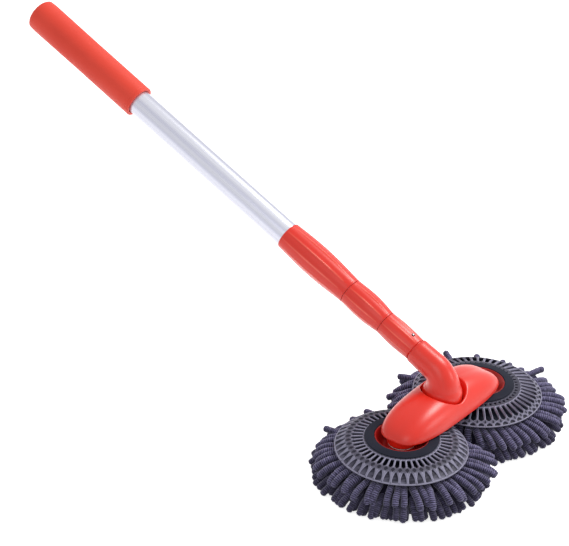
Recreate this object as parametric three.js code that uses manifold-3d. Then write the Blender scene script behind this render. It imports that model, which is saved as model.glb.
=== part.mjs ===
// Telescopic car wash mop: two round chenille heads hang under a boat-shaped yoke, a bent neck turns in
// the yoke's middle, and a three-part aluminium pole with two twist collars runs up to the grip.
// Millimetres, +Z up. The yoke lies along Y, the pole leans towards -X and the mop stands on its heads.

import * as THREE from 'three';
import { mergeVertices } from 'three/addons/utils/BufferGeometryUtils.js';
import Module from 'manifold-3d';

const wasm = await Module();
wasm.setup();

// how finely round pieces are drawn
const wideSides = 28;
const roundSides = 20;
const screwSides = 6;
const washerSides = 12;

// clearances and cutters
const seatGap = 0.3; // between faces that rest on each other
const pressGap = 0.2; // round a pressed or glued piece
const runGap = 0.35; // round a piece that slides or turns
const overrun = 4; // how far a cutter passes the face that it opens

// pole
const poleRise = 22.85; // degrees above level
const outerTubeRadius = 14;
const middleTubeRadius = 12.5;
const innerTubeRadius = 11;
const tubeWall = 0.55;
const innerTubeLength = 330;
const tubeStagger = 53; // from the inner tube's upper end to the middle tube's
const bareTubeLength = 225.6; // from the outer collar to the grip
const glideLength = 11;
const glideFlange = 2.2;
const glideBore = 7;

// grip
const gripLength = 158;
const gripRadius = 17.95;
const gripSwell = 0.4; // the grip is a little fatter near its closed end
const gripWall = 1.25;
const gripEndWall = 2.2;
const gripEndRound = 4;
const gripLip = 1.2; // rounding of the open mouth
const gripBand = 7; // inner rings that hold the tube

// twist collars and the sleeve at the pole's lower end
const collarOneLength = 90.6;
const collarOneLow = 14.2;
const collarOneBelly = 16.6;
const collarOneTop = 15;
const collarTwoLength = 49.9;
const collarTwoLow = 12.75;
const collarTwoBelly = 15.05;
const collarTwoTop = 14.1;
const sleeveLength = 43.1;
const sleeveLow = 12.6;
const sleeveBelly = 13.6;
const sleeveTop = 12.7;
const collarEdge = 0.5; // chamfer at a collar's ends
const flutes = 8;
const flutePoints = 3; // points drawn round each flute
const fluteDepth = 0.6;
const bellyShare = 0.55; // where a collar is widest, along its length
const collarStationShares = [0.05, 0.32, 0.64, 0.95];
const rivetHeight = 11;
const rivetRadius = 1.5;
const rivetHead = 0.6;

// locks inside the collars
const ferruleWall = 1;
const ferruleGrip = 18; // how far a ferrule covers its tube
const jawLength = 12;
const jawStep = 2; // solid ring between the jaws and the tube's end
const jawSlot = 2;
const jawTaper = 0.6;
const lipLength = 8; // lower part of a collar that runs on the inner tube
const clampHeight = 4;
const clampSlot = 2.5;

// neck
const neckCorner = 85.7; // height at which the pole's axis meets the neck's upright axis
const neckReach = 38.2; // from that corner to the neck's mouth
const neckBend = 20; // radius of the bend
const neckMouthRadius = 13.85;
const neckMouthEdge = 0.6;
const neckArmRadius = 14.5;
const neckHeelRadius = 18.3; // at the end of the bend
const footRadius = 20.7;
const footRound = 2.4;
const socketDepth = 26.5;
const spigotRadius = 9;
const swivelWasherRadius = 13;
const swivelWasherThick = 1.5;
const bendSteps = 5;

// yoke
const headSpacing = 136.4;
const yokeHalfLength = 85;
const yokeHalfWidth = 30;
const yokeLow = 47; // height of the cover's lower edge
const yokeCrown = 73;
const yokeWall = 2.8;
const yokeOutlinePower = 3.2;
const yokeDomePower = 2.6;
const yokeRisePower = 1.8;
const domeSpreadShares = [1, 0.985, 0.94, 0.84, 0.66, 0.42, 0.001];
const insideSpreadShares = [1, 0.92, 0.65, 0.001];
const wellRadius = 21.6;
const wellMouth = 25.2;
const wellFloor = 57.5;
const wellFloorThick = 2.5;
const stopRadius = 14.5; // circle on which the swivel's stop lug runs
const stopWidth = 3;
const stopDepth = 1.5;
const swivelLimit = 90;
const baseInset = 1.7; // between the base plate's edge and the cover's inner face
const baseLow = 49.5;
const baseThick = 3;
const pillarY = 38;
const pillarRadius = 3.6;

// boss and spindle under each end of the yoke, on which a head spins
const bossRadius = 15;
const bossLow = 39.8;
const bossStep = 3.6; // narrower inside the cover's edge
const spindleRadius = 8;
const thrustRadius = 14;
const thrustThick = 1.2;

// head: hub, trim ring, ribbed skirt and carrier plate
const hubBossRadius = 11;
const hubFloorTop = 36;
const hubFloorThick = 2.9;
const hubFloorRadius = 19;
const hubRimRadius = 27.7;
const hubRimTop = 45.7;
const hubRimWall = 2.2;
const hubFlangeRadius = 38.6;
const hubFlangeThick = 2;
const ringInner = 28;
const ringOuter = 37.5;
const ringTop = 46.2;
const ringThick = 2;
const ringBevel = 0.5;
const skirtRibs = 48;
const skirtInner = 32;
const skirtRim = 67.9;
const skirtShoulder = 51.2; // where the upper slots end
const skirtShoulderDrop = 2.2; // from the skirt's inner edge
const skirtBrow = 57.5; // where the skirt turns down
const skirtBrowDrop = 3.4;
const skirtRimDrop = 11;
const skirtThick = 1.8;
const upperSlotStart = 39.3;
const lowerSlotEnd = 66.2; // the lower slots start at the brow
const upperSlotStartShare = 0.26; // half widths, as shares of the pitch
const upperSlotEndShare = 0.2;
const lowerSlotStartShare = 0.2;
const lowerSlotEndShare = 0.33;
const carrierRadius = 61;
const carrierThick = 4.4;
const retainerRadius = 15;
const retainerThick = 1.8;

// chenille pad
const padRadius = 58;
const padEdgeLow = 20; // lower edge of the pad's upright side
const padUnderRadius = 50;
const padLow = 12;
const padReach = 92; // from a head's axis to the tips of its longest fingers
const topRootHeight = 23.6; // the upper row of fingers, which hangs clear of the floor
const topTipHeight = 8.5;
const sideRootHeight = 16;
const padRecessDepth = 5.4;
const padSides = 20;
const fingerWidth = 7;
const rootWidth = 4;
const fingerCornerShare = 0.77; // from a finger's middle to its corners
const rootSink = 3;
const middleClear = 0.6; // from a finger to the plane between the heads
const leastReachShare = 0.2; // a finger with less room than this beside the other head is left out
const shortRise = 6; // how much higher a short upper finger ends

// screws
const screwHeadRadius = 3.2;
const screwHeadThick = 1.6;
const screwShankRadius = 1.4;
const screwLength = 8.6;
const bigScrewHeadRadius = 4.5;
const bigScrewHeadThick = 1.9;
const bigScrewShankRadius = 2;
const bigScrewLength = 14;
const spindleScrewLength = 11.5;

// finishes
const finish = (color, roughness, metalness) => new THREE.MeshStandardMaterial({ color, roughness, metalness });
const redPlastic = finish(0xe2483c, 0.35, 0);
const gripRed = finish(0xd44c41, 0.5, 0);
const slatePlastic = finish(0x2d3241, 0.6, 0);
const greyPlastic = finish(0x827d8c, 0.5, 0);
const chenille = finish(0x4b485f, 0.95, 0);
const aluminium = finish(0xdcdee6, 0.35, 0.9);
const steel = finish(0xb8babd, 0.3, 1);
const blackPlastic = finish(0x26262a, 0.6, 0);

// a closed solid ready for cuts and joins, its faces turned outwards
function tidy(geometry) {
  geometry.deleteAttribute('normal');
  geometry.deleteAttribute('uv');
  const merged = mergeVertices(geometry, seatGap / 1000);
  const index = Array.from(merged.index.array);
  const place = merged.attributes.position;
  const corner = [0, 1, 2].map(() => new THREE.Vector3());
  const kept = [];
  let volume = 0;
  for (let i = 0; i < index.length; i += 3) {
    const [a, b, c] = index.slice(i, i + 3);
    if (a === b || b === c || c === a) continue;
    kept.push(a, b, c);
    corner.forEach((v, k) => v.fromBufferAttribute(place, [a, b, c][k]));
    volume += corner[0].dot(corner[1].cross(corner[2]));
  }
  if (volume < 0) for (let i = 0; i < kept.length; i += 3) [kept[i], kept[i + 1]] = [kept[i + 1], kept[i]];
  merged.setIndex(kept);
  return merged;
}

function solid(geometry) {
  const whole = tidy(geometry);
  return new wasm.Manifold(new wasm.Mesh({
    numProp: 3,
    vertProperties: new Float32Array(whole.attributes.position.array),
    triVerts: new Uint32Array(whole.index.array),
  }));
}

function shape(manifold) {
  const mesh = manifold.getMesh();
  const geometry = new THREE.BufferGeometry();
  geometry.setAttribute('position', new THREE.BufferAttribute(new Float32Array(mesh.vertProperties), 3));
  geometry.setIndex(Array.from(mesh.triVerts));
  return geometry;
}

const join = (first, ...others) => others.reduce((sum, other) => sum.add(other), first);
const cut = (first, ...others) => others.reduce((rest, other) => rest.subtract(other), first);

// a body turned about Z from [radius, height] points, which start and end on the axis or at the same point
function turned(outline, sides = roundSides) {
  const points = outline.map(([r, z]) => new THREE.Vector2(r, z));
  return new THREE.LatheGeometry(points, sides).rotateX(Math.PI / 2);
}

const disc = (radius, low, high, sides) =>
  turned([[0, low], [radius, low], [radius, high], [0, high]], sides);

const pipe = (inner, outer, low, high, sides) =>
  turned([[inner, low], [outer, low], [outer, high], [inner, high], [inner, low]], sides);

// a body drawn over rings of points, closed by a fan at each end or, as a loop, back onto its first ring
function skinned(rings, loop = false) {
  const sides = rings[0].length;
  const places = rings.flat().flatMap((p) => [p.x, p.y, p.z]);
  const index = [];
  const count = rings.length;
  for (let i = 0; i < (loop ? count : count - 1); i++) {
    for (let j = 0; j < sides; j++) {
      const [a, b] = [i * sides + j, i * sides + ((j + 1) % sides)];
      const [c, d] = [((i + 1) % count) * sides + j, ((i + 1) % count) * sides + ((j + 1) % sides)];
      index.push(a, b, d, a, d, c);
    }
  }
  if (!loop) {
    for (let j = 1; j < sides - 1; j++) {
      index.push(0, j + 1, j);
      const last = (count - 1) * sides;
      index.push(last, last + j, last + j + 1);
    }
  }
  const geometry = new THREE.BufferGeometry();
  geometry.setAttribute('position', new THREE.Float32BufferAttribute(places, 3));
  geometry.setIndex(index);
  return tidy(geometry);
}

const circle = (radius, height, sides, radiusAt = () => radius) =>
  Array.from({ length: sides }, (_, j) => {
    const angle = (j / sides) * 2 * Math.PI;
    return new THREE.Vector3(Math.cos(angle), Math.sin(angle), 0).multiplyScalar(radiusAt(angle)).setZ(height);
  });

const box = (x, y, z, width, depth, height) =>
  new THREE.BoxGeometry(width, depth, height).translate(x, y, z + height / 2);

const model = new THREE.Group();
const pole = new THREE.Group();
model.add(pole);

function add(parent, name, body, material) {
  const geometry = body instanceof THREE.BufferGeometry ? tidy(body) : shape(body);
  const mesh = new THREE.Mesh(geometry, material);
  mesh.name = name;
  parent.add(mesh);
  return mesh;
}

// a screw that points up, its head's lower face at z = 0
function screw(headRadius, headThick, shankRadius, length) {
  return turned([
    [0, 0], [headRadius, 0], [headRadius, headThick], [shankRadius, headThick], [shankRadius, length], [0, length],
  ], screwSides);
}

// The pole group has its origin at the neck's mouth, with +Z up the pole and +X on its upper side.
const rise = THREE.MathUtils.degToRad(poleRise);
pole.position.set(-neckReach * Math.cos(rise), 0, neckCorner + neckReach * Math.sin(rise));
pole.rotation.y = rise - Math.PI / 2;

const sleeveLowEnd = seatGap;
const sleeveHighEnd = sleeveLowEnd + sleeveLength;
const collarTwoLowEnd = sleeveHighEnd + seatGap;
const collarTwoHighEnd = collarTwoLowEnd + collarTwoLength;
const collarOneLowEnd = collarTwoHighEnd + seatGap;
const collarOneHighEnd = collarOneLowEnd + collarOneLength;
const gripLowEnd = collarOneHighEnd + bareTubeLength;
const gripHighEnd = gripLowEnd + gripLength;

// outer radius of a collar at a share of its length: it swells from its low end and narrows to its top
function collarRadius(share, low, belly, top) {
  if (share < bellyShare) return low + (belly - low) * Math.sin((Math.PI / 2) * (share / bellyShare));
  return top + (belly - top) * Math.sin((Math.PI / 2) * ((1 - share) / (1 - bellyShare)));
}

// a collar with long flutes that fade out before its ends, over a stepped bore of [radius, height] pairs
function flutedCollar(lowEnd, length, low, belly, top, bore) {
  const sides = flutes * flutePoints;
  const outside = collarStationShares.map((share, i) => {
    const plain = collarRadius(share, low, belly, top);
    const fade = i === 0 || i === collarStationShares.length - 1 ? 0 : 1;
    const radiusAt = (angle) => plain - fluteDepth * fade * (0.5 + 0.5 * Math.cos(flutes * angle));
    return circle(plain, lowEnd + share * length, sides, radiusAt);
  });
  const ends = [circle(low - collarEdge, lowEnd, sides), circle(top - collarEdge, lowEnd + length, sides)];
  const inside = bore.map(([radius, height]) => circle(radius, height, sides));
  return skinned([ends[0], ...outside, ends[1], ...inside], true);
}

// tubes
const tube = (radius, low, high) => pipe(radius - tubeWall, radius, low, high);
const innerTubeLow = -socketDepth + seatGap;
const innerTubeTop = innerTubeLow + innerTubeLength;
add(pole, 'inner_tube', tube(innerTubeRadius, innerTubeLow, innerTubeTop), aluminium);

// a glide plug in a tube's upper end: its stem sits in the tube and its flange runs in the next tube's bore
function glide(tubeRadius, nextRadius, tubeTop) {
  const stem = tubeRadius - tubeWall - pressGap;
  const flange = nextRadius - tubeWall - runGap;
  return turned([
    [glideBore, tubeTop - glideLength], [stem, tubeTop - glideLength], [stem, tubeTop + seatGap],
    [flange, tubeTop + seatGap], [flange, tubeTop + glideFlange], [glideBore, tubeTop + glideFlange],
    [glideBore, tubeTop - glideLength],
  ], washerSides);
}
add(pole, 'inner_tube_glide', glide(innerTubeRadius, middleTubeRadius, innerTubeTop), blackPlastic);

// A lock: a ferrule on the end of the carrying tube, whose slotted jaws close on the tube inside it when
// the collar turns and drives the clamp ring up the jaws' taper.
function lock(name, carryRadius, heldRadius, collarLow) {
  const jawLow = collarLow + lipLength + clampHeight + 2 * seatGap;
  const jawTop = jawLow + jawLength;
  const tubeLow = jawTop + jawStep + seatGap;
  const ferruleTop = tubeLow + ferruleGrip;
  const outside = carryRadius + pressGap + ferruleWall;
  const ferrule = solid(turned([
    [heldRadius + runGap, jawLow], [outside - jawTaper - ferruleWall, jawLow], [outside, jawTop],
    [outside, ferruleTop], [carryRadius + pressGap, ferruleTop], [carryRadius + pressGap, jawTop + jawStep],
    [heldRadius + runGap, jawTop + jawStep], [heldRadius + runGap, jawLow],
  ], roundSides));
  const slotHeight = jawLength - jawSlot + overrun;
  const slots = [0, Math.PI / 2].map((turn) =>
    solid(box(0, 0, jawLow - overrun, jawSlot, 2 * (outside + overrun), slotHeight).rotateZ(turn)));
  add(pole, `${name}_lock_body`, cut(ferrule, ...slots), blackPlastic);
  const clampLow = collarLow + lipLength + seatGap;
  const clamp = solid(pipe(heldRadius + runGap, outside - jawTaper, clampLow, clampLow + clampHeight, roundSides));
  const gap = solid(box(carryRadius, 0, clampLow - overrun, 2 * ferruleWall + overrun, clampSlot,
    clampHeight + 2 * overrun));
  add(pole, `${name}_clamp_ring`, cut(clamp, gap), blackPlastic);
  return { tubeLow, ferruleTop, outside };
}

// the steps of a collar's bore, from its top down to its low end
function collarBore(lowEnd, highEnd, carryRadius, heldRadius, held) {
  const chamber = held.outside + runGap;
  const chamberTop = held.ferruleTop + seatGap;
  return [
    [carryRadius + runGap, highEnd], [carryRadius + runGap, chamberTop], [chamber, chamberTop],
    [chamber, lowEnd + lipLength], [heldRadius + runGap, lowEnd + lipLength], [heldRadius + runGap, lowEnd],
  ];
}

const lockTwo = lock('middle', middleTubeRadius, innerTubeRadius, collarTwoLowEnd);
const middleTubeTop = innerTubeTop + tubeStagger;
add(pole, 'middle_tube', tube(middleTubeRadius, lockTwo.tubeLow, middleTubeTop), aluminium);
add(pole, 'middle_tube_glide', glide(middleTubeRadius, outerTubeRadius, middleTubeTop), blackPlastic);
add(pole, 'middle_collar', flutedCollar(collarTwoLowEnd, collarTwoLength, collarTwoLow, collarTwoBelly,
  collarTwoTop, collarBore(collarTwoLowEnd, collarTwoHighEnd, middleTubeRadius, innerTubeRadius,
    lockTwo)), redPlastic);

const lockOne = lock('outer', outerTubeRadius, middleTubeRadius, collarOneLowEnd);
const outerTubeTop = gripHighEnd - gripEndWall - seatGap;
add(pole, 'outer_tube', tube(outerTubeRadius, lockOne.tubeLow, outerTubeTop), aluminium);
add(pole, 'outer_collar', flutedCollar(collarOneLowEnd, collarOneLength, collarOneLow, collarOneBelly,
  collarOneTop, collarBore(collarOneLowEnd, collarOneHighEnd, outerTubeRadius,
    middleTubeRadius, lockOne)), redPlastic);

// sleeve on the inner tube, held by a rivet on its upper side
const sleeveBore = innerTubeRadius + pressGap;
const sleeve = solid(flutedCollar(sleeveLowEnd, sleeveLength, sleeveLow, sleeveBelly, sleeveTop,
  [[sleeveBore, sleeveHighEnd], [sleeveBore, sleeveLowEnd]]));
const rivetAcross = (radius, from, to) =>
  disc(radius, from, to, screwSides).rotateY(Math.PI / 2).translate(0, 0, rivetHeight);
add(pole, 'end_sleeve', cut(sleeve, solid(rivetAcross(rivetRadius + pressGap, innerTubeRadius - overrun,
  sleeveBelly + overrun))), redPlastic);
add(pole, 'sleeve_rivet', rivetAcross(rivetRadius, sleeveBore, sleeveBelly + rivetHead), steel);

// grip: a closed-end shell that holds the tube by a band at each end
const gripBore = gripRadius - gripWall;
const bandBore = outerTubeRadius + pressGap;
const gripMiddle = (gripLowEnd + gripHighEnd) / 2;
const gripInside = gripHighEnd - gripEndWall;
add(pole, 'grip', turned([
  [0, gripInside], [bandBore, gripInside], [bandBore, gripInside - gripBand], [gripBore, gripInside - gripBand],
  [gripBore, gripLowEnd + 2 * gripBand], [bandBore, gripLowEnd + 2 * gripBand],
  [bandBore, gripLowEnd + gripLip], [bandBore + gripLip, gripLowEnd],
  [gripRadius - gripLip, gripLowEnd], [gripRadius, gripLowEnd + gripLip],
  [gripRadius, gripMiddle], [gripRadius + gripSwell, gripHighEnd - 4 * gripEndRound],
  [gripRadius, gripHighEnd - gripEndRound], [gripRadius - gripEndRound / 4, gripHighEnd - gripEndRound / 3],
  [gripRadius - gripEndRound, gripHighEnd], [0, gripHighEnd],
]), gripRed);

// neck: a round arm that bends down into a wider foot
const bendTurn = Math.PI / 2 - rise;
const bendTangent = neckBend * Math.tan(bendTurn / 2);
const footLow = wellFloor + seatGap;
const armWay = new THREE.Vector3(-Math.cos(rise), 0, Math.sin(rise));
const neckRings = [];
const ringAcross = (centre, away, radius) => {
  const side = new THREE.Vector3(0, 1, 0);
  const over = new THREE.Vector3().crossVectors(side, away);
  neckRings.push(circle(radius, 0, roundSides).map((p) =>
    centre.clone().addScaledVector(side, p.x).addScaledVector(over, p.y)));
};
const neckAt = (reach) => new THREE.Vector3(0, 0, neckCorner).addScaledVector(armWay, reach);
const downArm = armWay.clone().negate();
ringAcross(neckAt(neckReach), downArm, neckMouthRadius - neckMouthEdge);
ringAcross(neckAt(neckReach - neckMouthEdge), downArm, neckMouthRadius);
for (let i = 0; i <= bendSteps; i++) {
  const share = i / bendSteps;
  const angle = share * bendTurn;
  const start = neckAt(bendTangent);
  const inward = new THREE.Vector3(-Math.sin(rise), 0, -Math.cos(rise));
  const way = downArm.clone().multiplyScalar(Math.cos(angle)).addScaledVector(inward, Math.sin(angle));
  const centre = start.clone().addScaledVector(downArm, neckBend * Math.sin(angle))
    .addScaledVector(inward, neckBend * (1 - Math.cos(angle)));
  ringAcross(centre, way, THREE.MathUtils.lerp(neckArmRadius, neckHeelRadius, share * share));
}
const down = new THREE.Vector3(0, 0, -1);
const footTop = (neckCorner - bendTangent + footLow) / 2;
ringAcross(new THREE.Vector3(0, 0, footTop), down, footRadius);
ringAcross(new THREE.Vector3(0, 0, footLow + footRound), down, footRadius);
ringAcross(new THREE.Vector3(0, 0, footLow), down, footRadius - footRound);
const socket = disc(innerTubeRadius + pressGap, -socketDepth, overrun, roundSides);
pole.updateMatrix();
socket.applyMatrix4(pole.matrix);
const spigotLow = wellFloor - wellFloorThick - seatGap;
const stopLug = box(-stopRadius, 0, footLow - stopDepth + seatGap, stopWidth, stopWidth, stopDepth + seatGap);
const swivelPilot = disc(bigScrewShankRadius + pressGap, spigotLow - overrun, spigotLow + bigScrewLength, screwSides);
add(model, 'neck', cut(join(solid(skinned(neckRings)), solid(disc(spigotRadius, spigotLow, footLow + seatGap)),
  solid(stopLug)), solid(socket), solid(swivelPilot)), redPlastic);
const swivelWasherTop = spigotLow - seatGap;
const swivelWasherLow = swivelWasherTop - swivelWasherThick;
add(model, 'swivel_washer', pipe(bigScrewShankRadius + pressGap, swivelWasherRadius, swivelWasherLow,
  swivelWasherTop, washerSides), steel);
add(model, 'swivel_screw', screw(bigScrewHeadRadius, bigScrewHeadThick, bigScrewShankRadius, bigScrewLength)
  .translate(0, 0, swivelWasherLow - seatGap - bigScrewHeadThick), steel);

// yoke: a domed body over a rounded plan outline, which narrows towards its crown
const outlineShare = (value, power) => Math.sign(value) * Math.abs(value) ** (2 / power);
const domeHeight = (spread, low, crown) =>
  low + (crown - low) * (1 - spread ** yokeDomePower) ** (1 / yokeRisePower);
const domeSpread = (height, low, crown) =>
  (1 - ((height - low) / (crown - low)) ** yokeRisePower) ** (1 / yokeDomePower);
const domeOutline = (halfLength, halfWidth, spread, height) =>
  Array.from({ length: wideSides }, (_, j) => {
    const angle = (j / wideSides) * 2 * Math.PI;
    return new THREE.Vector3(
      halfWidth * spread * outlineShare(Math.cos(angle), yokeOutlinePower),
      halfLength * spread * outlineShare(Math.sin(angle), yokeOutlinePower),
      height,
    );
  });
const dome = (halfLength, halfWidth, low, crown, spreadShares) => spreadShares.map((spread) =>
  domeOutline(halfLength, halfWidth, spread, domeHeight(spread, low, crown)));
const outerDome = solid(skinned(dome(yokeHalfLength, yokeHalfWidth, yokeLow, yokeCrown, domeSpreadShares)));
const innerLength = yokeHalfLength - yokeWall;
const innerWidth = yokeHalfWidth - yokeWall;
const innerRings = dome(innerLength, innerWidth, yokeLow, yokeCrown - yokeWall, insideSpreadShares);
innerRings.unshift(domeOutline(innerLength, innerWidth, 1, yokeLow - overrun));
const well = turned([
  [0, wellFloor], [wellRadius, wellFloor], [wellRadius, wellFloor + footRound],
  [wellMouth, yokeCrown], [wellMouth, yokeCrown + overrun], [0, yokeCrown + overrun],
], roundSides);
const cupLow = wellFloor - wellFloorThick;
const cup = solid(disc(wellRadius + yokeWall, cupLow, yokeCrown, roundSides)).intersect(outerDome);
const baseTop = baseLow + baseThick;
const pillarPlaces = [-pillarY, pillarY];
const pillars = pillarPlaces.map((y) =>
  solid(disc(pillarRadius, baseTop + seatGap, yokeCrown, screwSides).translate(0, y, 0)).intersect(outerDome));
const yokeScrewLow = baseLow - seatGap - screwHeadThick;
const pilots = pillarPlaces.map((y) => solid(disc(screwShankRadius + pressGap, yokeScrewLow,
  yokeScrewLow + screwLength + seatGap, screwSides).translate(0, y, 0)));
const stopSweep = THREE.MathUtils.degToRad(swivelLimit) + (stopWidth / 2 + runGap) / (stopRadius - stopWidth / 2);
const stopArc = new THREE.Shape();
stopArc.absarc(0, 0, stopRadius + stopWidth / 2 + runGap, Math.PI - stopSweep, Math.PI + stopSweep, false);
stopArc.absarc(0, 0, stopRadius - stopWidth / 2 - runGap, Math.PI + stopSweep, Math.PI - stopSweep, true);
const stopGroove = new THREE.ExtrudeGeometry(stopArc, {
  depth: stopDepth + overrun, bevelEnabled: false, curveSegments: screwSides,
}).translate(0, 0, wellFloor - stopDepth);
add(model, 'yoke_cover', cut(join(cut(outerDome, solid(skinned(innerRings))), cup, ...pillars),
  solid(well), solid(stopGroove), solid(disc(spigotRadius + runGap, cupLow - overrun, wellFloor + overrun)),
  ...pilots), redPlastic);

// Base plate inside the yoke's lower edge. Under each end it has a boss and the spindle of a head.
const plateSpread = domeSpread(baseTop, yokeLow, yokeCrown - yokeWall);
const plateAt = (height) =>
  domeOutline(innerLength * plateSpread - baseInset, innerWidth * plateSpread - baseInset, 1, height);
const plate = solid(skinned([plateAt(baseLow), plateAt(baseTop)]));
const headEnds = [['front', -headSpacing / 2], ['back', headSpacing / 2]];
const carrierTop = hubFloorTop - hubFloorThick - seatGap;
const carrierLow = carrierTop - carrierThick;
const retainerTop = carrierLow - seatGap;
const spindleLow = carrierLow;
const bosses = headEnds.map(([, y]) => solid(turned([
  [0, spindleLow], [spindleRadius, spindleLow], [spindleRadius, bossLow], [bossRadius, bossLow],
  [bossRadius, yokeLow - seatGap], [bossRadius - bossStep, yokeLow - seatGap],
  [bossRadius - bossStep, baseLow + seatGap], [0, baseLow + seatGap],
]).translate(0, y, 0)));
const spindlePilots = headEnds.map(([, y]) => solid(disc(bigScrewShankRadius + pressGap,
  spindleLow - overrun, spindleLow + spindleScrewLength, screwSides).translate(0, y, 0)));
const plateHoles = pillarPlaces.map((y) =>
  solid(disc(screwShankRadius + runGap, baseLow - overrun, baseTop + overrun, screwSides).translate(0, y, 0)));
add(model, 'yoke_base', cut(join(plate, ...bosses), ...spindlePilots, ...plateHoles,
  solid(disc(bigScrewHeadRadius + 2 * runGap, baseLow - overrun, baseTop + overrun, washerSides))), redPlastic);
pillarPlaces.forEach((y, i) => add(model, `yoke_screw_${i + 1}`,
  screw(screwHeadRadius, screwHeadThick, screwShankRadius, screwLength).translate(0, y, yokeScrewLow), steel));

// height of the skirt's upper face at a radius
const skirtTop = ringTop - ringThick - seatGap;
const skirtLine = [
  [skirtInner, 0], [skirtShoulder, skirtShoulderDrop], [skirtBrow, skirtBrowDrop], [skirtRim, skirtRimDrop],
];
function skirtHeight(radius) {
  const k = Math.max(1, skirtLine.findIndex(([r]) => r >= radius - seatGap / 10));
  const [[r0, drop0], [r1, drop1]] = [skirtLine[k - 1], skirtLine[k]];
  return skirtTop - drop0 - ((drop1 - drop0) * (radius - r0)) / (r1 - r0);
}

// Ribbed skirt: one pitch of the annulus, with an upper slot and a lower one in line between two ribs, is
// triangulated round its slots, then repeated.
function ribbedSkirt() {
  const pitch = (2 * Math.PI) / skirtRibs;
  const half = pitch / 2;
  const border = [
    [-half, skirtInner], [-half, skirtBrow], [-half, skirtRim], [half, skirtRim], [half, skirtBrow], [half, skirtInner],
  ];
  const slot = (startShare, start, endShare, end) => [
    [-pitch * startShare, start], [pitch * startShare, start], [pitch * endShare, end], [-pitch * endShare, end],
  ];
  const slots = [
    slot(upperSlotStartShare, upperSlotStart, upperSlotEndShare, skirtShoulder),
    slot(lowerSlotStartShare, skirtBrow, lowerSlotEndShare, lowerSlotEnd),
  ];
  const flat = (list) => list.map(([angle, radius]) => new THREE.Vector2(angle * skirtShoulder, radius));
  const faces = THREE.ShapeUtils.triangulateShape(flat(border), slots.map(flat));
  const pairs = (list) => list.map((from, i) => [from, list[(i + 1) % list.length]]);
  const corners = [...border, ...slots.flat()];
  const indexes = corners.map((_, i) => i);
  const lowerFirst = border.length + slots[0].length;
  const walls = [
    ...pairs(indexes.slice(0, border.length)).filter(([a, b]) => corners[a][1] === corners[b][1]),
    ...pairs(indexes.slice(border.length, lowerFirst)), ...pairs(indexes.slice(lowerFirst)),
  ];
  const places = [];
  for (let rib = 0; rib < skirtRibs; rib++) {
    const put = (...list) => list.forEach(([k, drop]) => {
      const angle = corners[k][0] + rib * pitch;
      const radius = corners[k][1];
      places.push(radius * Math.cos(angle), radius * Math.sin(angle), skirtHeight(radius) - drop);
    });
    for (const [a, b, c] of faces) {
      put([c, 0], [b, 0], [a, 0]);
      put([a, skirtThick], [b, skirtThick], [c, skirtThick]);
    }
    for (const [a, b] of walls) {
      put([a, 0], [b, skirtThick], [b, 0]);
      put([a, 0], [a, skirtThick], [b, skirtThick]);
    }
  }
  const geometry = new THREE.BufferGeometry();
  geometry.setAttribute('position', new THREE.Float32BufferAttribute(places, 3));
  return geometry;
}

// Rows of chenille fingers, from the pad's side to its middle: how many, where the first one is in its pitch,
// and the radius of its roots and tips, as shares of the pad's radius and reach.
const padTop = retainerTop;
const padRecessRadius = retainerRadius + runGap;
const fingerRows = [
  { count: 40, turn: 0.5, rootShare: 1, tipShare: 1, rootHeight: topRootHeight, tipHeight: topTipHeight },
  { count: 40, turn: 0, rootShare: 0.93, tipShare: 0.913, rootHeight: sideRootHeight },
  { count: 28, turn: 0.5, rootShare: 0.76, tipShare: 0.695, behind: 1.8 },
  { count: 22, turn: 0, rootShare: 0.57, tipShare: 0.5, behind: 3.6 },
  { count: 14, turn: 0.5, rootShare: 0.38, tipShare: 0.337, behind: 5 },
  { count: 9, turn: 0, rootShare: 0.21, tipShare: 0.174 },
  { count: 1, turn: 0, rootShare: 0, tipShare: 0 },
];

// One three-sided finger in the upright plane of an angle, thinner where it leaves the pad. It ends level
// on the floor, or square to its own length where it hangs clear.
function finger(angle, root, tip) {
  const outward = new THREE.Vector3(Math.cos(angle), Math.sin(angle), 0);
  const side = new THREE.Vector3(-Math.sin(angle), Math.cos(angle), 0);
  const ends = [root, tip].map(([r, z]) => outward.clone().multiplyScalar(r).setZ(z));
  const way = ends[1].clone().sub(ends[0]).normalize();
  ends[0].addScaledVector(way, -rootSink);
  const over = tip[1] === 0 ? outward.divideScalar(way.z) : new THREE.Vector3().crossVectors(side, way);
  return solid(skinned(ends.map((centre, i) =>
    circle(fingerCornerShare * (i === 0 ? rootWidth : fingerWidth), 0, 3).map((p) =>
      centre.clone().addScaledVector(side, -p.y).addScaledVector(over, p.x)))));
}

// Fingers that point at the other head are drawn in, so that they stay on their side of the middle plane.
function chenillePad(towardsOther) {
  const room = headSpacing / 2 - middleClear - fingerWidth;
  const recessFloor = padTop - padRecessDepth;
  const backing = solid(turned([
    [0, recessFloor], [padRecessRadius, recessFloor], [padRecessRadius, padTop], [padRadius, padTop],
    [padRadius, padEdgeLow], [padUnderRadius, padLow], [0, padLow],
  ], padSides));
  const fingers = fingerRows.flatMap((row) =>
    Array.from({ length: row.count }, (_, i) => {
      const angle = ((i + row.turn) / row.count) * 2 * Math.PI;
      const facing = Math.sin(angle) * towardsOther;
      const root = [padRadius * row.rootShare, row.rootHeight ?? padLow];
      const tip = [padReach * row.tipShare, row.tipHeight ?? 0];
      const limit = facing > 0 ? (room - (row.behind ?? 0) * fingerWidth) / facing : tip[0];
      const spread = tip[0] > limit ? (limit - root[0]) / (tip[0] - root[0]) : 1;
      const rises = row.tipHeight ? (1 - spread) * shortRise : 0;
      const end = [root[0] + (tip[0] - root[0]) * spread, tip[1] + rises];
      return spread < leastReachShare ? [] : finger(angle, root, end);
    }).flat());
  console.log(`${fingers.length} fingers on a pad`);
  return join(backing, ...fingers);
}

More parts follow.
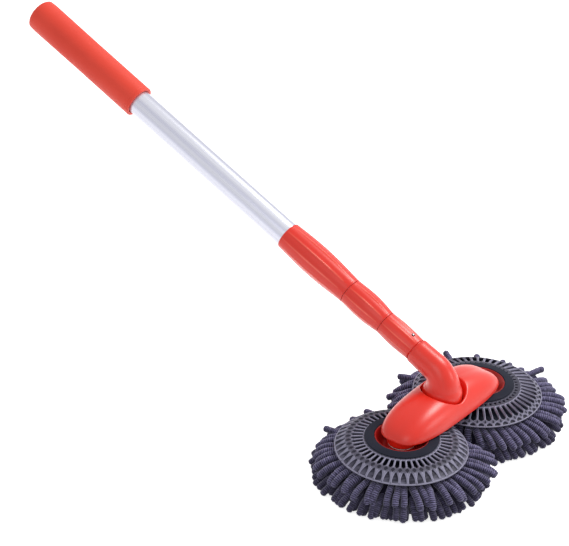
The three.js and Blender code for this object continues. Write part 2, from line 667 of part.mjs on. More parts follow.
// heads
const hubFlangeTop = skirtTop - skirtThick - seatGap;
const thrustTop = bossLow - seatGap;
const hubBossTop = thrustTop - thrustThick - seatGap;
const hubFlangeEdge = skirtHeight(hubFlangeRadius) - skirtThick - seatGap;
const hubBossLow = retainerTop + seatGap;
const hubProfile = [
  [spindleRadius + runGap, hubBossLow], [hubBossRadius, hubBossLow], [hubBossRadius, hubFloorTop - hubFloorThick],
  [hubFloorRadius, hubFloorTop - hubFloorThick], [hubRimRadius - hubRimWall, hubFlangeTop - hubFlangeThick],
  [hubFlangeRadius, hubFlangeTop - hubFlangeThick], [hubFlangeRadius, hubFlangeEdge], [hubRimRadius, hubFlangeTop],
  [hubRimRadius, hubRimTop], [hubRimRadius - hubRimWall, hubRimTop], [hubFloorRadius, hubFloorTop],
  [thrustRadius, hubFloorTop], [thrustRadius, hubBossTop], [spindleRadius + runGap, hubBossTop],
  [spindleRadius + runGap, hubBossLow],
];

for (const [end, y] of headEnds) {
  const head = new THREE.Group();
  head.position.y = y;
  model.add(head);

  add(head, `${end}_thrust_washer`, pipe(spindleRadius + pressGap, thrustRadius, thrustTop - thrustThick,
    thrustTop, roundSides), steel);
  add(head, `${end}_retaining_washer`, pipe(bigScrewShankRadius + pressGap, retainerRadius,
    retainerTop - retainerThick, retainerTop, washerSides), steel);
  add(head, `${end}_spindle_screw`, screw(bigScrewHeadRadius, bigScrewHeadThick, bigScrewShankRadius,
    spindleScrewLength).translate(0, 0, retainerTop - retainerThick - seatGap - bigScrewHeadThick), steel);
  add(head, `${end}_hub`, turned(hubProfile), redPlastic);
  add(head, `${end}_trim_ring`, turned([
    [ringInner, ringTop - ringThick], [ringOuter, ringTop - ringThick], [ringOuter, ringTop - ringBevel],
    [ringOuter - ringBevel, ringTop], [ringInner, ringTop], [ringInner, ringTop - ringThick],
  ], wideSides), slatePlastic);
  add(head, `${end}_skirt`, ribbedSkirt(), greyPlastic);
  add(head, `${end}_carrier`, pipe(hubBossRadius + pressGap, carrierRadius, carrierLow, carrierTop, wideSides),
    slatePlastic);
  add(head, `${end}_pad`, chenillePad(-Math.sign(y)), chenille);
}

// the origin lies on the floor under the middle of the whole mop
model.updateMatrixWorld(true);
const whole = new THREE.Box3().setFromObject(model, true);
const middle = whole.getCenter(new THREE.Vector3());
model.position.set(-middle.x, -middle.y, -whole.min.z);

export default model;
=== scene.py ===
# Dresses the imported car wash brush: red mouldings, a drawn aluminium pole, ribbed skirts and chenille pads.
# Every piece is made at its place in the frame. Sizes are in millimetres and become metres in newPiece.
import random
from math import atan2, copysign, cos, degrees, dist, exp, hypot, pi, radians, sin, sqrt, tan

import bmesh
import bpy
from mathutils import Matrix, Vector, noise
from mathutils.geometry import delaunay_2d_cdt


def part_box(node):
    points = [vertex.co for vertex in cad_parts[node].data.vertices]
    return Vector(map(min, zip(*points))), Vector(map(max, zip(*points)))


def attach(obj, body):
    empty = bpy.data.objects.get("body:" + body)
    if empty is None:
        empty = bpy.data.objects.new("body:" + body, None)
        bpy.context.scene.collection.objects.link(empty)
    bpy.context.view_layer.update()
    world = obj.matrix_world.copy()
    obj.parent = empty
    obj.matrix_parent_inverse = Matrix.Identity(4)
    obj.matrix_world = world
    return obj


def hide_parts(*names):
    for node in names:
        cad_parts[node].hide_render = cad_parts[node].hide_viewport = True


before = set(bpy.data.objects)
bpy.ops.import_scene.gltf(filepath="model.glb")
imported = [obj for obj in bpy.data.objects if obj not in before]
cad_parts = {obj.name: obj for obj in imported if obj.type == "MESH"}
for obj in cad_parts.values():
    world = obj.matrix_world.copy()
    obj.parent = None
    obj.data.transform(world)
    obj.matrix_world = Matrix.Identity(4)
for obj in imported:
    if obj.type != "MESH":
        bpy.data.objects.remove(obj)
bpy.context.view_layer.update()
scene = bpy.context.scene
scene.view_settings.view_transform = "Standard"
mm = 0.001

coverLow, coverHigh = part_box("yoke_cover")
yokeX = (coverLow.x + coverHigh.x) / 2 / mm  # the yoke's middle, over which everything is laid out

# camera, at the viewing angle of the picture
cameraView = {
    "place": (1251.6, -1609.7, 1273.8),
    "azimuth": 37.25, "pitch": 29.58, "roll": 2.2,  # degrees
    "focalPixels": 2200, "pictureWidth": 569, "sensorWidth": 36,
    "clip": (0.05, 60),  # metres
}


def makeCamera(view):
    turn, down, roll = (radians(view[key]) for key in ("azimuth", "pitch", "roll"))
    level = Vector((-sin(turn), cos(turn), 0))
    right = Vector((cos(turn), sin(turn), 0))
    ahead = level * cos(down) - Vector((0, 0, 1)) * sin(down)
    up = level * sin(down) + Vector((0, 0, 1)) * cos(down)
    rolledRight = right * cos(roll) + up * sin(roll)
    rolledUp = up * cos(roll) - right * sin(roll)
    data = bpy.data.cameras.new("pictureCamera")
    data.sensor_width = view["sensorWidth"]
    data.lens = view["focalPixels"] * view["sensorWidth"] / view["pictureWidth"]
    data.clip_start, data.clip_end = view["clip"]
    made = bpy.data.objects.new("pictureCamera", data)
    axes = Matrix((rolledRight, rolledUp, -ahead)).transposed().to_4x4()
    made.matrix_world = Matrix.Translation(Vector(view["place"]) * mm) @ axes
    scene.collection.objects.link(made)
    scene.camera = made


makeCamera(cameraView)
print("camera placed")


# gives a node its inputs: a socket is linked, anything else becomes the input's value
def fill(tree, node, inputs):
    for key, value in inputs.items():
        if isinstance(value, bpy.types.NodeSocket):
            tree.links.new(value, node.inputs[key])
        else:
            node.inputs[key].default_value = value


def addNode(tree, kind, inputs=None, **settings):
    node = tree.nodes.new("ShaderNode" + kind)
    node.location = (-200 * len(tree.nodes), 0)
    for key, value in settings.items():
        setattr(node, key, value)
    fill(tree, node, inputs or {})
    return node


def doMath(tree, operation, *values):
    return addNode(tree, "Math", dict(enumerate(values)), operation=operation).outputs[0]


def noiseAt(tree, where, scale, detail, roughness):
    inputs = {"Vector": where, "Scale": scale, "Detail": detail, "Roughness": roughness}
    return addNode(tree, "TexNoise", inputs).outputs[0]


# where a value stands between low and high, laid out between two other values
def shareOf(tree, value, low, high, out=(0.0, 1.0)):
    inputs = {"Value": value, "From Min": low, "From Max": high, "To Min": out[0], "To Max": out[1]}
    return addNode(tree, "MapRange", inputs).outputs[0]


def mixColours(tree, factor, first, second):
    inputs = {"Factor": factor, "A": first, "B": second}
    return addNode(tree, "Mix", inputs, data_type="RGBA").outputs["Result"]


# the value that a mesh carries for each of its points
def pointValue(tree, name):
    return addNode(tree, "Attribute", attribute_name=name).outputs["Fac"]


def bumpNormal(tree, height, strength, distance):
    return addNode(tree, "Bump", {"Height": height, "Strength": strength, "Distance": distance}).outputs[0]


def linear(red, green, blue):
    def one(value):
        value /= 255
        return value / 12.92 if value <= 0.04045 else ((value + 0.055) / 1.055) ** 2.4

    return (one(red), one(green), one(blue), 1.0)


# an empty shader node group, the sockets that come into it, and the node that ends it
def newGroup(name, inputs, colours=(), values=()):
    group = bpy.data.node_groups.new(name, "ShaderNodeTree")
    for label, value in inputs.items():
        kind = "NodeSocketFloat" if isinstance(value, float) else "NodeSocketColor"
        group.interface.new_socket(name=label, in_out="INPUT", socket_type=kind).default_value = value
    for labels, kind in ((colours, "NodeSocketColor"), (values, "NodeSocketFloat")):
        for label in labels:
            group.interface.new_socket(name=label, in_out="OUTPUT", socket_type=kind)
    return group, group.nodes.new("NodeGroupInput").outputs, group.nodes.new("NodeGroupOutput")


mottleNoise = {"scale": 24.0, "detail": 4.0, "roughness": 0.55}
mottleRange = (0.42, 0.66)  # of that noise, from plain to fully mottled
grainNoise = {"detail": 2.0, "roughness": 0.5}


# fine grain of a moulded surface, soft mottling of its colour, and a gloss that follows the mottling
def makeMouldGrain():
    group, start, end = newGroup(
        "mouldGrain",
        {"Colour": (1, 1, 1, 1), "Shade Colour": (0.5, 0.5, 0.5, 1), "Mottle": 0.3, "Grain Scale": 900.0,
         "Roughness": 0.4, "Roughness Spread": 0.08},
        colours=["Colour"], values=["Roughness", "Height"],
    )
    where = addNode(group, "TexCoord").outputs["Object"]
    mottling = shareOf(group, noiseAt(group, where, **mottleNoise), *mottleRange)
    amount = doMath(group, "MULTIPLY", mottling, start["Mottle"])
    fill(group, end, {
        "Colour": mixColours(group, amount, start["Colour"], start["Shade Colour"]),
        "Roughness": doMath(group, "MULTIPLY_ADD", mottling, start["Roughness Spread"], start["Roughness"]),
        "Height": noiseAt(group, where, start["Grain Scale"], **grainNoise),
    })
    return group


poleSizes = {
    "riseDegrees": 22.85,  # of the pole above level
    "cornerHeight": 85.7,  # where the pole's axis meets the neck's upright axis
    "mouthReach": 38.2,  # from that corner to the neck's mouth
}
poleRise = radians(poleSizes["riseDegrees"])
poleWay = Vector((-cos(poleRise), 0, sin(poleRise)))
poleUpper = Vector((sin(poleRise), 0, cos(poleRise)))
neckCorner = Vector((yokeX, 0, poleSizes["cornerHeight"]))
poleFoot = neckCorner + poleWay * poleSizes["mouthReach"]
poleFrame = Matrix((poleUpper, Vector((0, 1, 0)), poleWay)).transposed().to_4x4()
poleFrame.translation = poleFoot

lineRange = (0.3, 0.7)  # of the noise, from no line to a full one
lineDetails = {"Fine Scale": 3.0, "Band Scale": 1.0}
lineRoughness = 0.6


# long soft streaks along the pole, as drawing and polishing leave them
def makeDrawLines():
    group, start, end = newGroup(
        "drawLines",
        {"Fine Scale": 900.0, "Band Scale": 70.0, "Stretch": 0.01,
         "Roughness": 0.3, "Roughness Spread": 0.12},
        values=["Fine", "Band", "Roughness"],
    )
    where = addNode(group, "TexCoord").outputs["Object"]
    turned = addNode(group, "Mapping", {"Vector": where, "Rotation": (0, pi / 2 - poleRise, 0)})
    parts = addNode(group, "SeparateXYZ", {0: turned.outputs[0]}).outputs
    slow = doMath(group, "MULTIPLY", parts["Z"], start["Stretch"])
    along = addNode(group, "CombineXYZ", {"X": parts["X"], "Y": parts["Y"], "Z": slow}).outputs[0]
    fine, band = (shareOf(group, noiseAt(group, along, start[scale], detail, lineRoughness), *lineRange)
                  for scale, detail in lineDetails.items())
    spread = doMath(group, "MULTIPLY_ADD", fine, start["Roughness Spread"], start["Roughness"])
    fill(group, end, {"Fine": fine, "Band": band, "Roughness": spread})
    return group


mouldGrain = makeMouldGrain()
drawLines = makeDrawLines()


def newMaterial(name, inputs):
    material = bpy.data.materials.new(name)
    material.use_nodes = True
    shader = material.node_tree.nodes["Principled BSDF"]
    fill(material.node_tree, shader, inputs)
    return material, material.node_tree, shader


redMould = {"mottle": 0.35, "grainScale": 700.0, "bump": 0.05}
plastics = {
    "redGloss": {
        # crown: the painted highlight on the collars' ridge crests
        **redMould, "colour": (234, 44, 27), "shade": (220, 37, 24), "crown": (255, 104, 82),
        "roughness": 0.33, "roughnessSpread": 0.05,
        "shader": {"Specular IOR Level": 0.5, "Coat Weight": 0.1, "Coat Roughness": 0.3},
    },
    # painted shade: a darker copy of the red for the hub's dish, which lies in shade under the cover
    "shadedRedDish": {
        **redMould, "colour": (176, 28, 24), "shade": (158, 23, 21),
        "roughness": 0.36, "roughnessSpread": 0.07, "shader": {"Specular IOR Level": 0.4},
    },
    # painted highlight: a pale ring that stands for a glint on the bearing land's edge
    "paintedGlintEdge": {
        **redMould, "colour": (250, 236, 232), "shade": (240, 220, 216),
        "roughness": 0.4, "roughnessSpread": 0.07,
    },
    "redGrip": {
        "colour": (238, 68, 47), "shade": (226, 62, 44), "mottle": 0.4, "grainScale": 1600.0,
        "roughness": 0.5, "roughnessSpread": 0.1, "bump": 0.16,
    },
    "slateRing": {
        "colour": (32, 35, 49), "shade": (25, 28, 41), "mottle": 0.5, "grainScale": 1400.0,
        "roughness": 0.66, "roughnessSpread": 0.12, "bump": 0.25, "shader": {"Specular IOR Level": 0.15},
    },
    "greySkirt": {
        # crown: the painted highlight on the skirt's ribs, rim and edges, which also lightens its hollows
        "colour": (42, 41, 55), "shade": (30, 29, 42), "crown": (184, 181, 208), "mottle": 0.7,
        "grainScale": 1000.0, "roughness": 0.42, "roughnessSpread": 0.12, "bump": 0.3,
        "shader": {"Specular IOR Level": 0.16},
    },
    "blackLock": {
        "colour": (38, 38, 42), "shade": (30, 30, 34), "mottle": 0.4, "grainScale": 1200.0,
        "roughness": 0.5, "roughnessSpread": 0.1, "bump": 0.1,
    },
}
grainDepth = 0.0002  # metres


def mouldedPlastic(name, finish):
    material, tree, shader = newMaterial(name, finish.get("shader", {}))
    grain = addNode(tree, "Group", {
        "Colour": linear(*finish["colour"]), "Shade Colour": linear(*finish["shade"]),
        "Mottle": finish["mottle"], "Grain Scale": finish["grainScale"],
        "Roughness": finish["roughness"], "Roughness Spread": finish["roughnessSpread"],
    }, node_tree=mouldGrain).outputs
    colour = grain["Colour"]
    if "crown" in finish:
        # painted highlight: crowns and edges are paler, after the crown value that a piece's points carry
        colour = mixColours(tree, pointValue(tree, "crown"), colour, linear(*finish["crown"]))
    fill(tree, shader, {"Base Color": colour, "Roughness": grain["Roughness"],
                        "Normal": bumpNormal(tree, grain["Height"], finish["bump"], grainDepth)})
    return material


redGloss, shadedRedDish, paintedGlintEdge, redGrip, slateRing, greySkirt, blackLock = (
    mouldedPlastic(name, finish) for name, finish in plastics.items()
)

metals = {
    "drawnAluminium": {
        "dark": (201, 202, 214), "light": (219, 220, 230), "reflectionStreak": (193, 194, 211), "metallic": 0.75,
        "fineScale": 1500.0, "bandScale": 120.0, "stretch": 0.006,
        "roughness": 0.24, "roughnessSpread": 0.12, "bump": 0.12,
    },
    "plainSteel": {
        "dark": (166, 168, 174), "light": (196, 198, 204), "metallic": 1.0,
        "fineScale": 600.0, "bandScale": 200.0, "stretch": 1.0,
        "roughness": 0.26, "roughnessSpread": 0.12, "bump": 0.1,
    },
}
lineDepth = 0.0001  # metres


def drawnMetal(name, finish):
    material, tree, shader = newMaterial(name, {"Metallic": finish["metallic"]})
    lines = addNode(tree, "Group", {
        "Fine Scale": finish["fineScale"], "Band Scale": finish["bandScale"], "Stretch": finish["stretch"],
        "Roughness": finish["roughness"], "Roughness Spread": finish["roughnessSpread"],
    }, node_tree=drawLines).outputs
    colour = mixColours(tree, lines["Band"], linear(*finish["dark"]), linear(*finish["light"]))
    if "reflectionStreak" in finish:
        # painted reflection: broad dull streaks along a tube, at fixed turns round it
        colour = mixColours(tree, pointValue(tree, "reflectionStreak"), colour, linear(*finish["reflectionStreak"]))
    fill(tree, shader, {"Base Color": colour, "Roughness": lines["Roughness"],
                        "Normal": bumpNormal(tree, lines["Fine"], finish["bump"], lineDepth)})
    return material


drawnAluminium, plainSteel = (drawnMetal(name, finish) for name, finish in metals.items())

chenilleFinish = {
    "valleyShade": (15, 11, 32), "peakHighlight": (164, 157, 205),
    "peakRange": (0.45, 1.2),  # of loop height and fluff together, from the valleys' painted shade to the crowns' painted highlight
    "shift": (20, 17, 35), "shadeShare": 0.8,  # painted shade: the dark colour of the low rows and of the fingers' flanks and undersides, which also gives random tone, and its largest share
    "fluff": {"scale": 1500.0, "detail": 3.0, "roughness": 0.65}, "fluffShare": 0.65,
    "bump": 0.7, "fluffDepth": 0.0004,
    "shader": {"Roughness": 0.92, "Sheen Weight": 0.5, "Sheen Roughness": 0.5,
               "Sheen Tint": (0.75, 0.74, 0.9, 1), "Specular IOR Level": 0.15},
}


# painted shade between the loops and painted highlight on their crowns, after the height that the mesh
# carries, with painted shade on low rows and flanks after the fingers' tone
def makeChenille(finish):
    material, tree, shader = newMaterial("chenillePile", finish["shader"])
    where = addNode(tree, "TexCoord").outputs["Object"]
    fluff = noiseAt(tree, where, **finish["fluff"])
    height = doMath(tree, "MULTIPLY_ADD", fluff, finish["fluffShare"], pointValue(tree, "loopHeight"))
    share = shareOf(tree, height, *finish["peakRange"])
    pileShadeAndHighlight = mixColours(tree, share, linear(*finish["valleyShade"]), linear(*finish["peakHighlight"]))
    shadeAmount = shareOf(tree, pointValue(tree, "fingerToneAndShade"), 0, 1, (0.0, finish["shadeShare"]))
    fill(tree, shader, {"Base Color": mixColours(tree, shadeAmount, pileShadeAndHighlight, linear(*finish["shift"])),
                        "Normal": bumpNormal(tree, fluff, finish["bump"], finish["fluffDepth"])})
    return material


chenillePile = makeChenille(chenilleFinish)
print("materials made")


# One piece from its points and faces. It rides a body and stands for a node of the frame.
def newPiece(name, shape, material, body, node, place=Matrix(), sharp=40):
    points, faces = shape
    mesh = bpy.data.meshes.new(name)
    mesh.from_pydata([(place @ Vector(p)) * mm for p in points], [], faces)
    mesh.shade_smooth()
    mesh.set_sharp_from_angle(angle=radians(sharp))
    mesh.materials.append(material)
    piece = bpy.data.objects.new(name, mesh)
    scene.collection.objects.link(piece)
    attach(piece, body)
    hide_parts(node)
    return piece


# a value for each point of a piece, which its material reads
def paintPoints(piece, name, values):
    piece.data.attributes.new(name, "FLOAT", "POINT").data.foreach_set("value", values)


edgeShare = 0.3  # where the middle point of a small rounded edge lies, as a share of the edge


def clamp(value):
    return min(1.0, max(0.0, value))


def blend(first, last, share):
    return first + (last - first) * share


def polar(radius, angle, height):
    return (radius * cos(angle), radius * sin(angle), height)


# directions that divide a full turn evenly
def evenTurns(count, start=0.0):
    return [start + 2 * pi * j / count for j in range(count)]


def rowOf(first, count):
    return list(range(first, first + count))


# a smooth bend from start to end, drawn towards the corner
def bendPoints(start, corner, end, steps):
    start, corner, end = Vector(start), Vector(corner), Vector(end)
    shares = [k / steps for k in range(steps + 1)]
    return [tuple(start * (1 - t) ** 2 + corner * 2 * t * (1 - t) + end * t**2) for t in shares]


# Rounds the corners of an outline of (radius, height, rounding) points.
# A rounding takes at most a little less than half of each line that it joins.
def roundedOutline(outline, steps=4, largestShare=0.49):
    points = []
    for i, corner in enumerate(outline):
        here = Vector(corner[:2])
        rounding = corner[2] if len(corner) > 2 else 0
        if not rounding or i in (0, len(outline) - 1):
            points.append(tuple(here))
            continue
        before = Vector(outline[i - 1][:2]) - here
        after = Vector(outline[i + 1][:2]) - here
        reach = min(rounding, before.length * largestShare, after.length * largestShare)
        start, end = (here + way.normalized() * reach for way in (before, after))
        points += bendPoints(start, here, end, steps)
    return points


# faces between rows of point numbers, each row closed on itself
def skinRows(rows):
    faces = []
    for low, high in zip(rows, rows[1:]):
        for j in range(len(low)):
            k = (j + 1) % len(low)
            face = list(dict.fromkeys((low[j], low[k], high[k], high[j])))
            if len(face) > 2:
                faces.append(face)
    return faces


# a body turned about Z from an outline that ends on the axis or where it began
def turnedShape(outline, sides):
    closed = Vector(outline[0]) == Vector(outline[-1])
    points, rows = [], []
    for radius, height in outline[:-1] if closed else outline:
        if radius < 1e-6:
            rows.append([len(points)] * sides)
            points.append((0, 0, height))
        else:
            rows.append(rowOf(len(points), sides))
            points += [polar(radius, angle, height) for angle in evenTurns(sides)]
    return points, skinRows(rows + rows[:1] if closed else rows)


# a body through rings of points, closed on itself or capped at both ends
def skinRings(rings, loop=False):
    sides = len(rings[0])
    rows = [rowOf(i * sides, sides) for i in range(len(rings))]
    faces = skinRows(rows + rows[:1] if loop else rows)
    if not loop:
        faces += [rows[0][::-1], rows[-1]]
    return [p for ring in rings for p in ring], faces


tubeSizes = {
    "sides": 96, "wall": 0.55, "edge": 0.2,
    # middle and half width in degrees, and strength, of the painted reflection streaks in each quarter turn
    "reflectionStreaks": [(-43, 10, 0.85), (-75, 9, 0.75)],
    # radius and body
    "tubes": {"outer_tube": (14.0, "outer_stage"), "middle_tube": (12.5, "middle_stage"),
              "inner_tube": (11.0, "neck")},
}


# the lowest and highest place of a node along the pole's axis
def alongPole(node):
    heights = [(v.co / mm - poleFoot).dot(poleWay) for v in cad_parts[node].data.vertices]
    return min(heights), max(heights)


def makeTube(size, node, radius, body):
    low, high = alongPole(node)
    inside, edge = radius - size["wall"], size["edge"]
    outline = [(inside, low), (radius, low, edge), (radius, high, edge), (inside, high), (inside, low)]
    shape = turnedShape(roundedOutline(outline), size["sides"])
    piece = newPiece(node + "_shown", shape, drawnAluminium, body, node, poleFrame)
    # painted reflection: each point's share of the dull streaks, after its turn round the tube
    reflectionStreaks = []
    for x, y, z in shape[0]:
        turn = degrees(atan2(y, x))
        reflectionStreaks.append(max(strength * exp(-((((turn - middle + 45) % 90) - 45) / width) ** 2)
                           for middle, width, strength in size["reflectionStreaks"]))
    paintPoints(piece, "reflectionStreak", reflectionStreaks)


for node, (radius, body) in tubeSizes["tubes"].items():
    makeTube(tubeSizes, node, radius, body)

gripSizes = {
    "sides": 96, "radius": 17.95, "swell": 0.4, "lip": 0.9,
    "bore": 14.5, "mouthDepth": 12.0, "mouthChamfer": 0.5,
    "endWall": 2.2, "endRound": 2.4, "endBevel": (1.6, 1.2),
    # the faint line round the open mouth
    "grooveHeight": 4.2, "grooveHalf": 0.5, "grooveDepth": 0.35, "grooveRound": 0.3,
}


def makeGrip(size):
    low, high = alongPole("grip")
    radius, bore, chamfer = size["radius"], size["bore"], size["mouthChamfer"]
    groove, half, grooveRound = low + size["grooveHeight"], size["grooveHalf"], size["grooveRound"]
    endRound, (bevelAcross, bevelDown) = size["endRound"], size["endBevel"]
    outline = [
        (0, high - size["endWall"]), (bore, high - size["endWall"]), (bore, low + size["mouthDepth"]),
        (bore, low + chamfer), (bore + chamfer, low), (radius, low, size["lip"]),
        (radius, groove - half, grooveRound), (radius - size["grooveDepth"], groove, grooveRound),
        (radius, groove + half, grooveRound),
        (radius, (low + high) / 2, 0), (radius + size["swell"], high - 4 * endRound, 8),
        (radius - 0.1, high - endRound * 0.9, 3), (radius - bevelAcross, high - bevelDown, endRound),
        (radius - endRound, high, 3), (0, high),
    ]
    shape = turnedShape(roundedOutline(outline, 6), size["sides"])
    newPiece("grip_shell", shape, redGrip, "outer_stage", "grip", poleFrame)


makeGrip(gripSizes)

collarSizes = {
    "sides": 160, "flutes": 10, "stations": 60, "edge": 0.5,
    "bellyShare": 0.55,  # of the length, where a collar is widest
    "flutePower": 5, "fadePower": 0.7,  # a flute is nearly flat across, and fades out at its ends
    "crestHighlightWidth": 0.11, "crestHighlightFade": 0.5,  # of the painted highlight line on a ridge, as a share of a flute's width
    "seamWidth": 1.0, "seamDepth": 1.1,  # of the dark groove at each collar's lower end
    # radii at the lower end, belly and top, and the flutes' depth, extent as shares, and turn in degrees
    "outer_collar": {
        "low": 14.2, "belly": 16.9, "top": 15.2, "depth": 0.7, "from": 0.02, "to": 0.98, "turn": 1.0,
        "bore": 14.35, "body": "outer_twist",
    },
    "middle_collar": {
        "low": 12.75, "belly": 15.35, "top": 14.2, "depth": 0.6, "from": 0.02, "to": 0.98, "turn": -1.0,
        "bore": 12.85, "body": "middle_twist",
    },
    "end_sleeve": {
        "low": 12.6, "belly": 13.8, "top": 12.8, "depth": 0.4, "from": 0.03, "to": 0.98, "turn": -23.4,
        "bore": 11.2, "body": "neck",
    },
}
flutePitch = 2 * pi / collarSizes["flutes"]


# the plain outer radius of a collar at a share of its length
def collarRadius(collar, share):
    belly = collarSizes["bellyShare"]
    if share < belly:
        return blend(collar["low"], collar["belly"], sin(pi / 2 * share / belly))
    return blend(collar["top"], collar["belly"], sin(pi / 2 * (1 - share) / (1 - belly)))


# Each flute is a long shallow hollow that fades out at its ends. Two flutes meet in a fine ridge.
def fluteDepth(collar, share, angle):
    along = (share - collar["from"]) / (collar["to"] - collar["from"])
    if not 0 < along < 1:
        return 0
    fade = sin(pi * along) ** collarSizes["fadePower"]
    offset = ((angle - radians(collar["turn"])) / flutePitch) % 1 - 0.5
    return collar["depth"] * fade * (1 - (2 * abs(offset)) ** collarSizes["flutePower"])


def makeCollar(size, node):
    collar = size[node]
    low, high = alongPole(node)
    length, edge, turn = high - low, size["edge"], radians(collar["turn"])
    bevel = edge * edgeShare
    angles = evenTurns(size["sides"], turn)
    seamTop, seam = low + size["seamWidth"], collar["low"] - size["seamDepth"]
    start = (seamTop - low + edge) / length
    count = size["stations"]
    shares = [start + (1 - edge / length - start) * i / count for i in range(count + 1)]
    stations = [(low, collar["bore"], 0), (low, seam, 0), (seamTop, seam, 0),
                (seamTop, collar["low"] - edge, 0), (seamTop + bevel, collar["low"] - bevel, 0)]
    stations += [(low + share * length, collarRadius(collar, share), share) for share in shares]
    stations += [(high - bevel, collar["top"] - bevel, 0), (high, collar["top"] - edge, 0),
                 (high, collar["bore"], 0)]
    shape = skinRings([[polar(radius - fluteDepth(collar, share, a), a, height) for a in angles]
                       for height, radius, share in stations], loop=True)
    piece = newPiece(node + "_shown", shape, redGloss, collar["body"], node, poleFrame, 50)
    # painted highlight: the ridges' crests are paler
    crestHighlights = []
    for x, y, z in shape[0]:
        away = abs(((atan2(y, x) - turn) / flutePitch + 0.5) % 1 - 0.5)
        outside = hypot(x, y) > collar["bore"] + edge and seamTop < z < high - edge
        fade = sin(pi * clamp((z - low) / length)) ** size["crestHighlightFade"]
        crestHighlights.append(fade * max(0.0, 1 - away / size["crestHighlightWidth"]) if outside else 0.0)
    paintPoints(piece, "crown", crestHighlights)


for node in ("outer_collar", "middle_collar", "end_sleeve"):
    makeCollar(collarSizes, node)

rivetSizes = {
    "sides": 32,
    "height": 11.0, "seat": 13.65,  # along the pole from the neck's mouth, and out from its axis
    "radius": 0.85, "head": 0.25, "shank": 1.6,
    "rimWidth": 0.8, "rimRise": 0.15, "step": 0.05,  # the edge of its hole
}


def makeRivet(size):
    radius, seat = size["radius"], size["seat"]
    rim, low = radius + size["rimWidth"], seat - size["shank"]
    rimTop, top, step = seat + size["rimRise"], seat + size["head"], size["step"]
    outline = [(0, low), (rim, low), (rim, rimTop, 0.1), (radius, rimTop + step), (radius, seat + step),
               (radius - 0.1, top + step, 0.3), (0, top)]
    place = poleFrame @ Matrix.Translation((0, 0, size["height"])) @ Matrix.Rotation(pi / 2, 4, "Y")
    shape = turnedShape(roundedOutline(outline), size["sides"])
    piece = newPiece("rivet_head", shape, plainSteel, "neck", "sleeve_rivet", place)
    # the dark edge of its hole
    piece.data.materials.append(blackLock)
    middle = (place @ Vector((0, 0, seat))) * mm
    way = place.to_3x3() @ Vector((0, 0, 1))
    for face in piece.data.polygons:
        away = face.center - middle
        face.material_index = int((away - way * away.dot(way)).length > radius * mm)


makeRivet(rivetSizes)
print("pole made")

# neck: a round arm that bends down into the wider foot
neckSizes = {
    "sides": 96, "armSteps": 8, "bendSteps": 28, "footSteps": 6,
    "bend": 20.0, "mouth": 13.85, "mouthEdge": 0.6, "arm": 14.5, "heel": 18.3,
    "foot": 20.7, "footRound": 2.4, "footLow": 57.8,
    "bore": 11.2, "boreDepth": 8.0, "boreEdge": 0.3,
}


def makeNeck(size):
    mouth, edge, boreEdge = poleSizes["mouthReach"], size["mouthEdge"], size["boreEdge"]
    bendTurn = pi / 2 - poleRise
    tangent = size["bend"] * tan(bendTurn / 2)
    arm = [(mouth - size["boreDepth"], size["bore"]), (mouth - boreEdge, size["bore"]),
           (mouth, size["bore"] + boreEdge), (mouth, size["mouth"] - edge),
           (mouth - edge * edgeShare, size["mouth"] - edge * edgeShare)]
    for i in range(size["armSteps"] + 1):
        share = i / size["armSteps"]
        arm.append((blend(mouth - edge, tangent, share), blend(size["mouth"], size["arm"], share)))
    stations = [(neckCorner + poleWay * reach, -poleWay, radius) for reach, radius in arm]
    for i in range(1, size["bendSteps"] + 1):
        share = i / size["bendSteps"]
        angle = share * bendTurn
        centre = neckCorner + poleWay * tangent - poleWay * size["bend"] * sin(angle)
        centre -= poleUpper * size["bend"] * (1 - cos(angle))
        way = -poleWay * cos(angle) - poleUpper * sin(angle)
        stations.append((centre, way, blend(size["arm"], size["heel"], share**2)))
    bendEnd = poleSizes["cornerHeight"] - tangent
    footTop = (bendEnd + size["footLow"]) / 2
    quarter = [i / size["footSteps"] for i in range(size["footSteps"] + 1)]
    foot = [(blend(size["heel"], size["foot"], sin(pi / 2 * share)), blend(bendEnd, footTop, share))
            for share in quarter[1:]]
    foot += [(size["foot"] - size["footRound"] * (1 - cos(pi / 2 * share)),
              size["footLow"] + size["footRound"] * (1 - sin(pi / 2 * share))) for share in quarter]
    stations += [(Vector((yokeX, 0, height)), Vector((0, 0, -1)), radius) for radius, height in foot]
    side, rings = Vector((0, 1, 0)), []
    for centre, way, radius in stations:
        over = side.cross(way)
        rings.append([centre + side * radius * cos(a) + over * radius * sin(a)
                      for a in evenTurns(size["sides"])])
    newPiece("neck_shown", skinRings(rings), redGloss, "neck", "neck", sharp=50)


makeNeck(neckSizes)

# yoke cover: a domed shell over a rounded plan outline, with the well that the neck turns in
coverSizes = {
    "sides": 224, "halfLength": 85.0, "halfWidth": 30.0, "low": 47.0, "crown": 73.0, "wall": 2.8,
    "outlinePower": 3.2,
    "domePowers": (2.6, 2.0), "risePowers": (1.8, 1.6),  # in front and at the back
    "shoulder": (0.8, 0.6),  # added to both on the pole's side
    "wellRadius": 21.6, "wellMouth": 26.0, "wellFloor": 57.5, "wellFloorThick": 2.5,
    "mouthShift": 3.4,  # of the mouth's middle, away from the pole
    "rimRound": 1.6, "footRound": 2.4, "lowerEdge": 0.7,
    "topSteps": 26, "topGather": 2.2,  # rings on the dome, gathered towards its outline
    "footSteps": 6, "wallSteps": 3, "rimSteps": 5, "insideSteps": 8, "rimTries": 8,
    "cupShares": (0.97, 0.95),  # the most that the well's cup and its underside take of the inside's reach
}


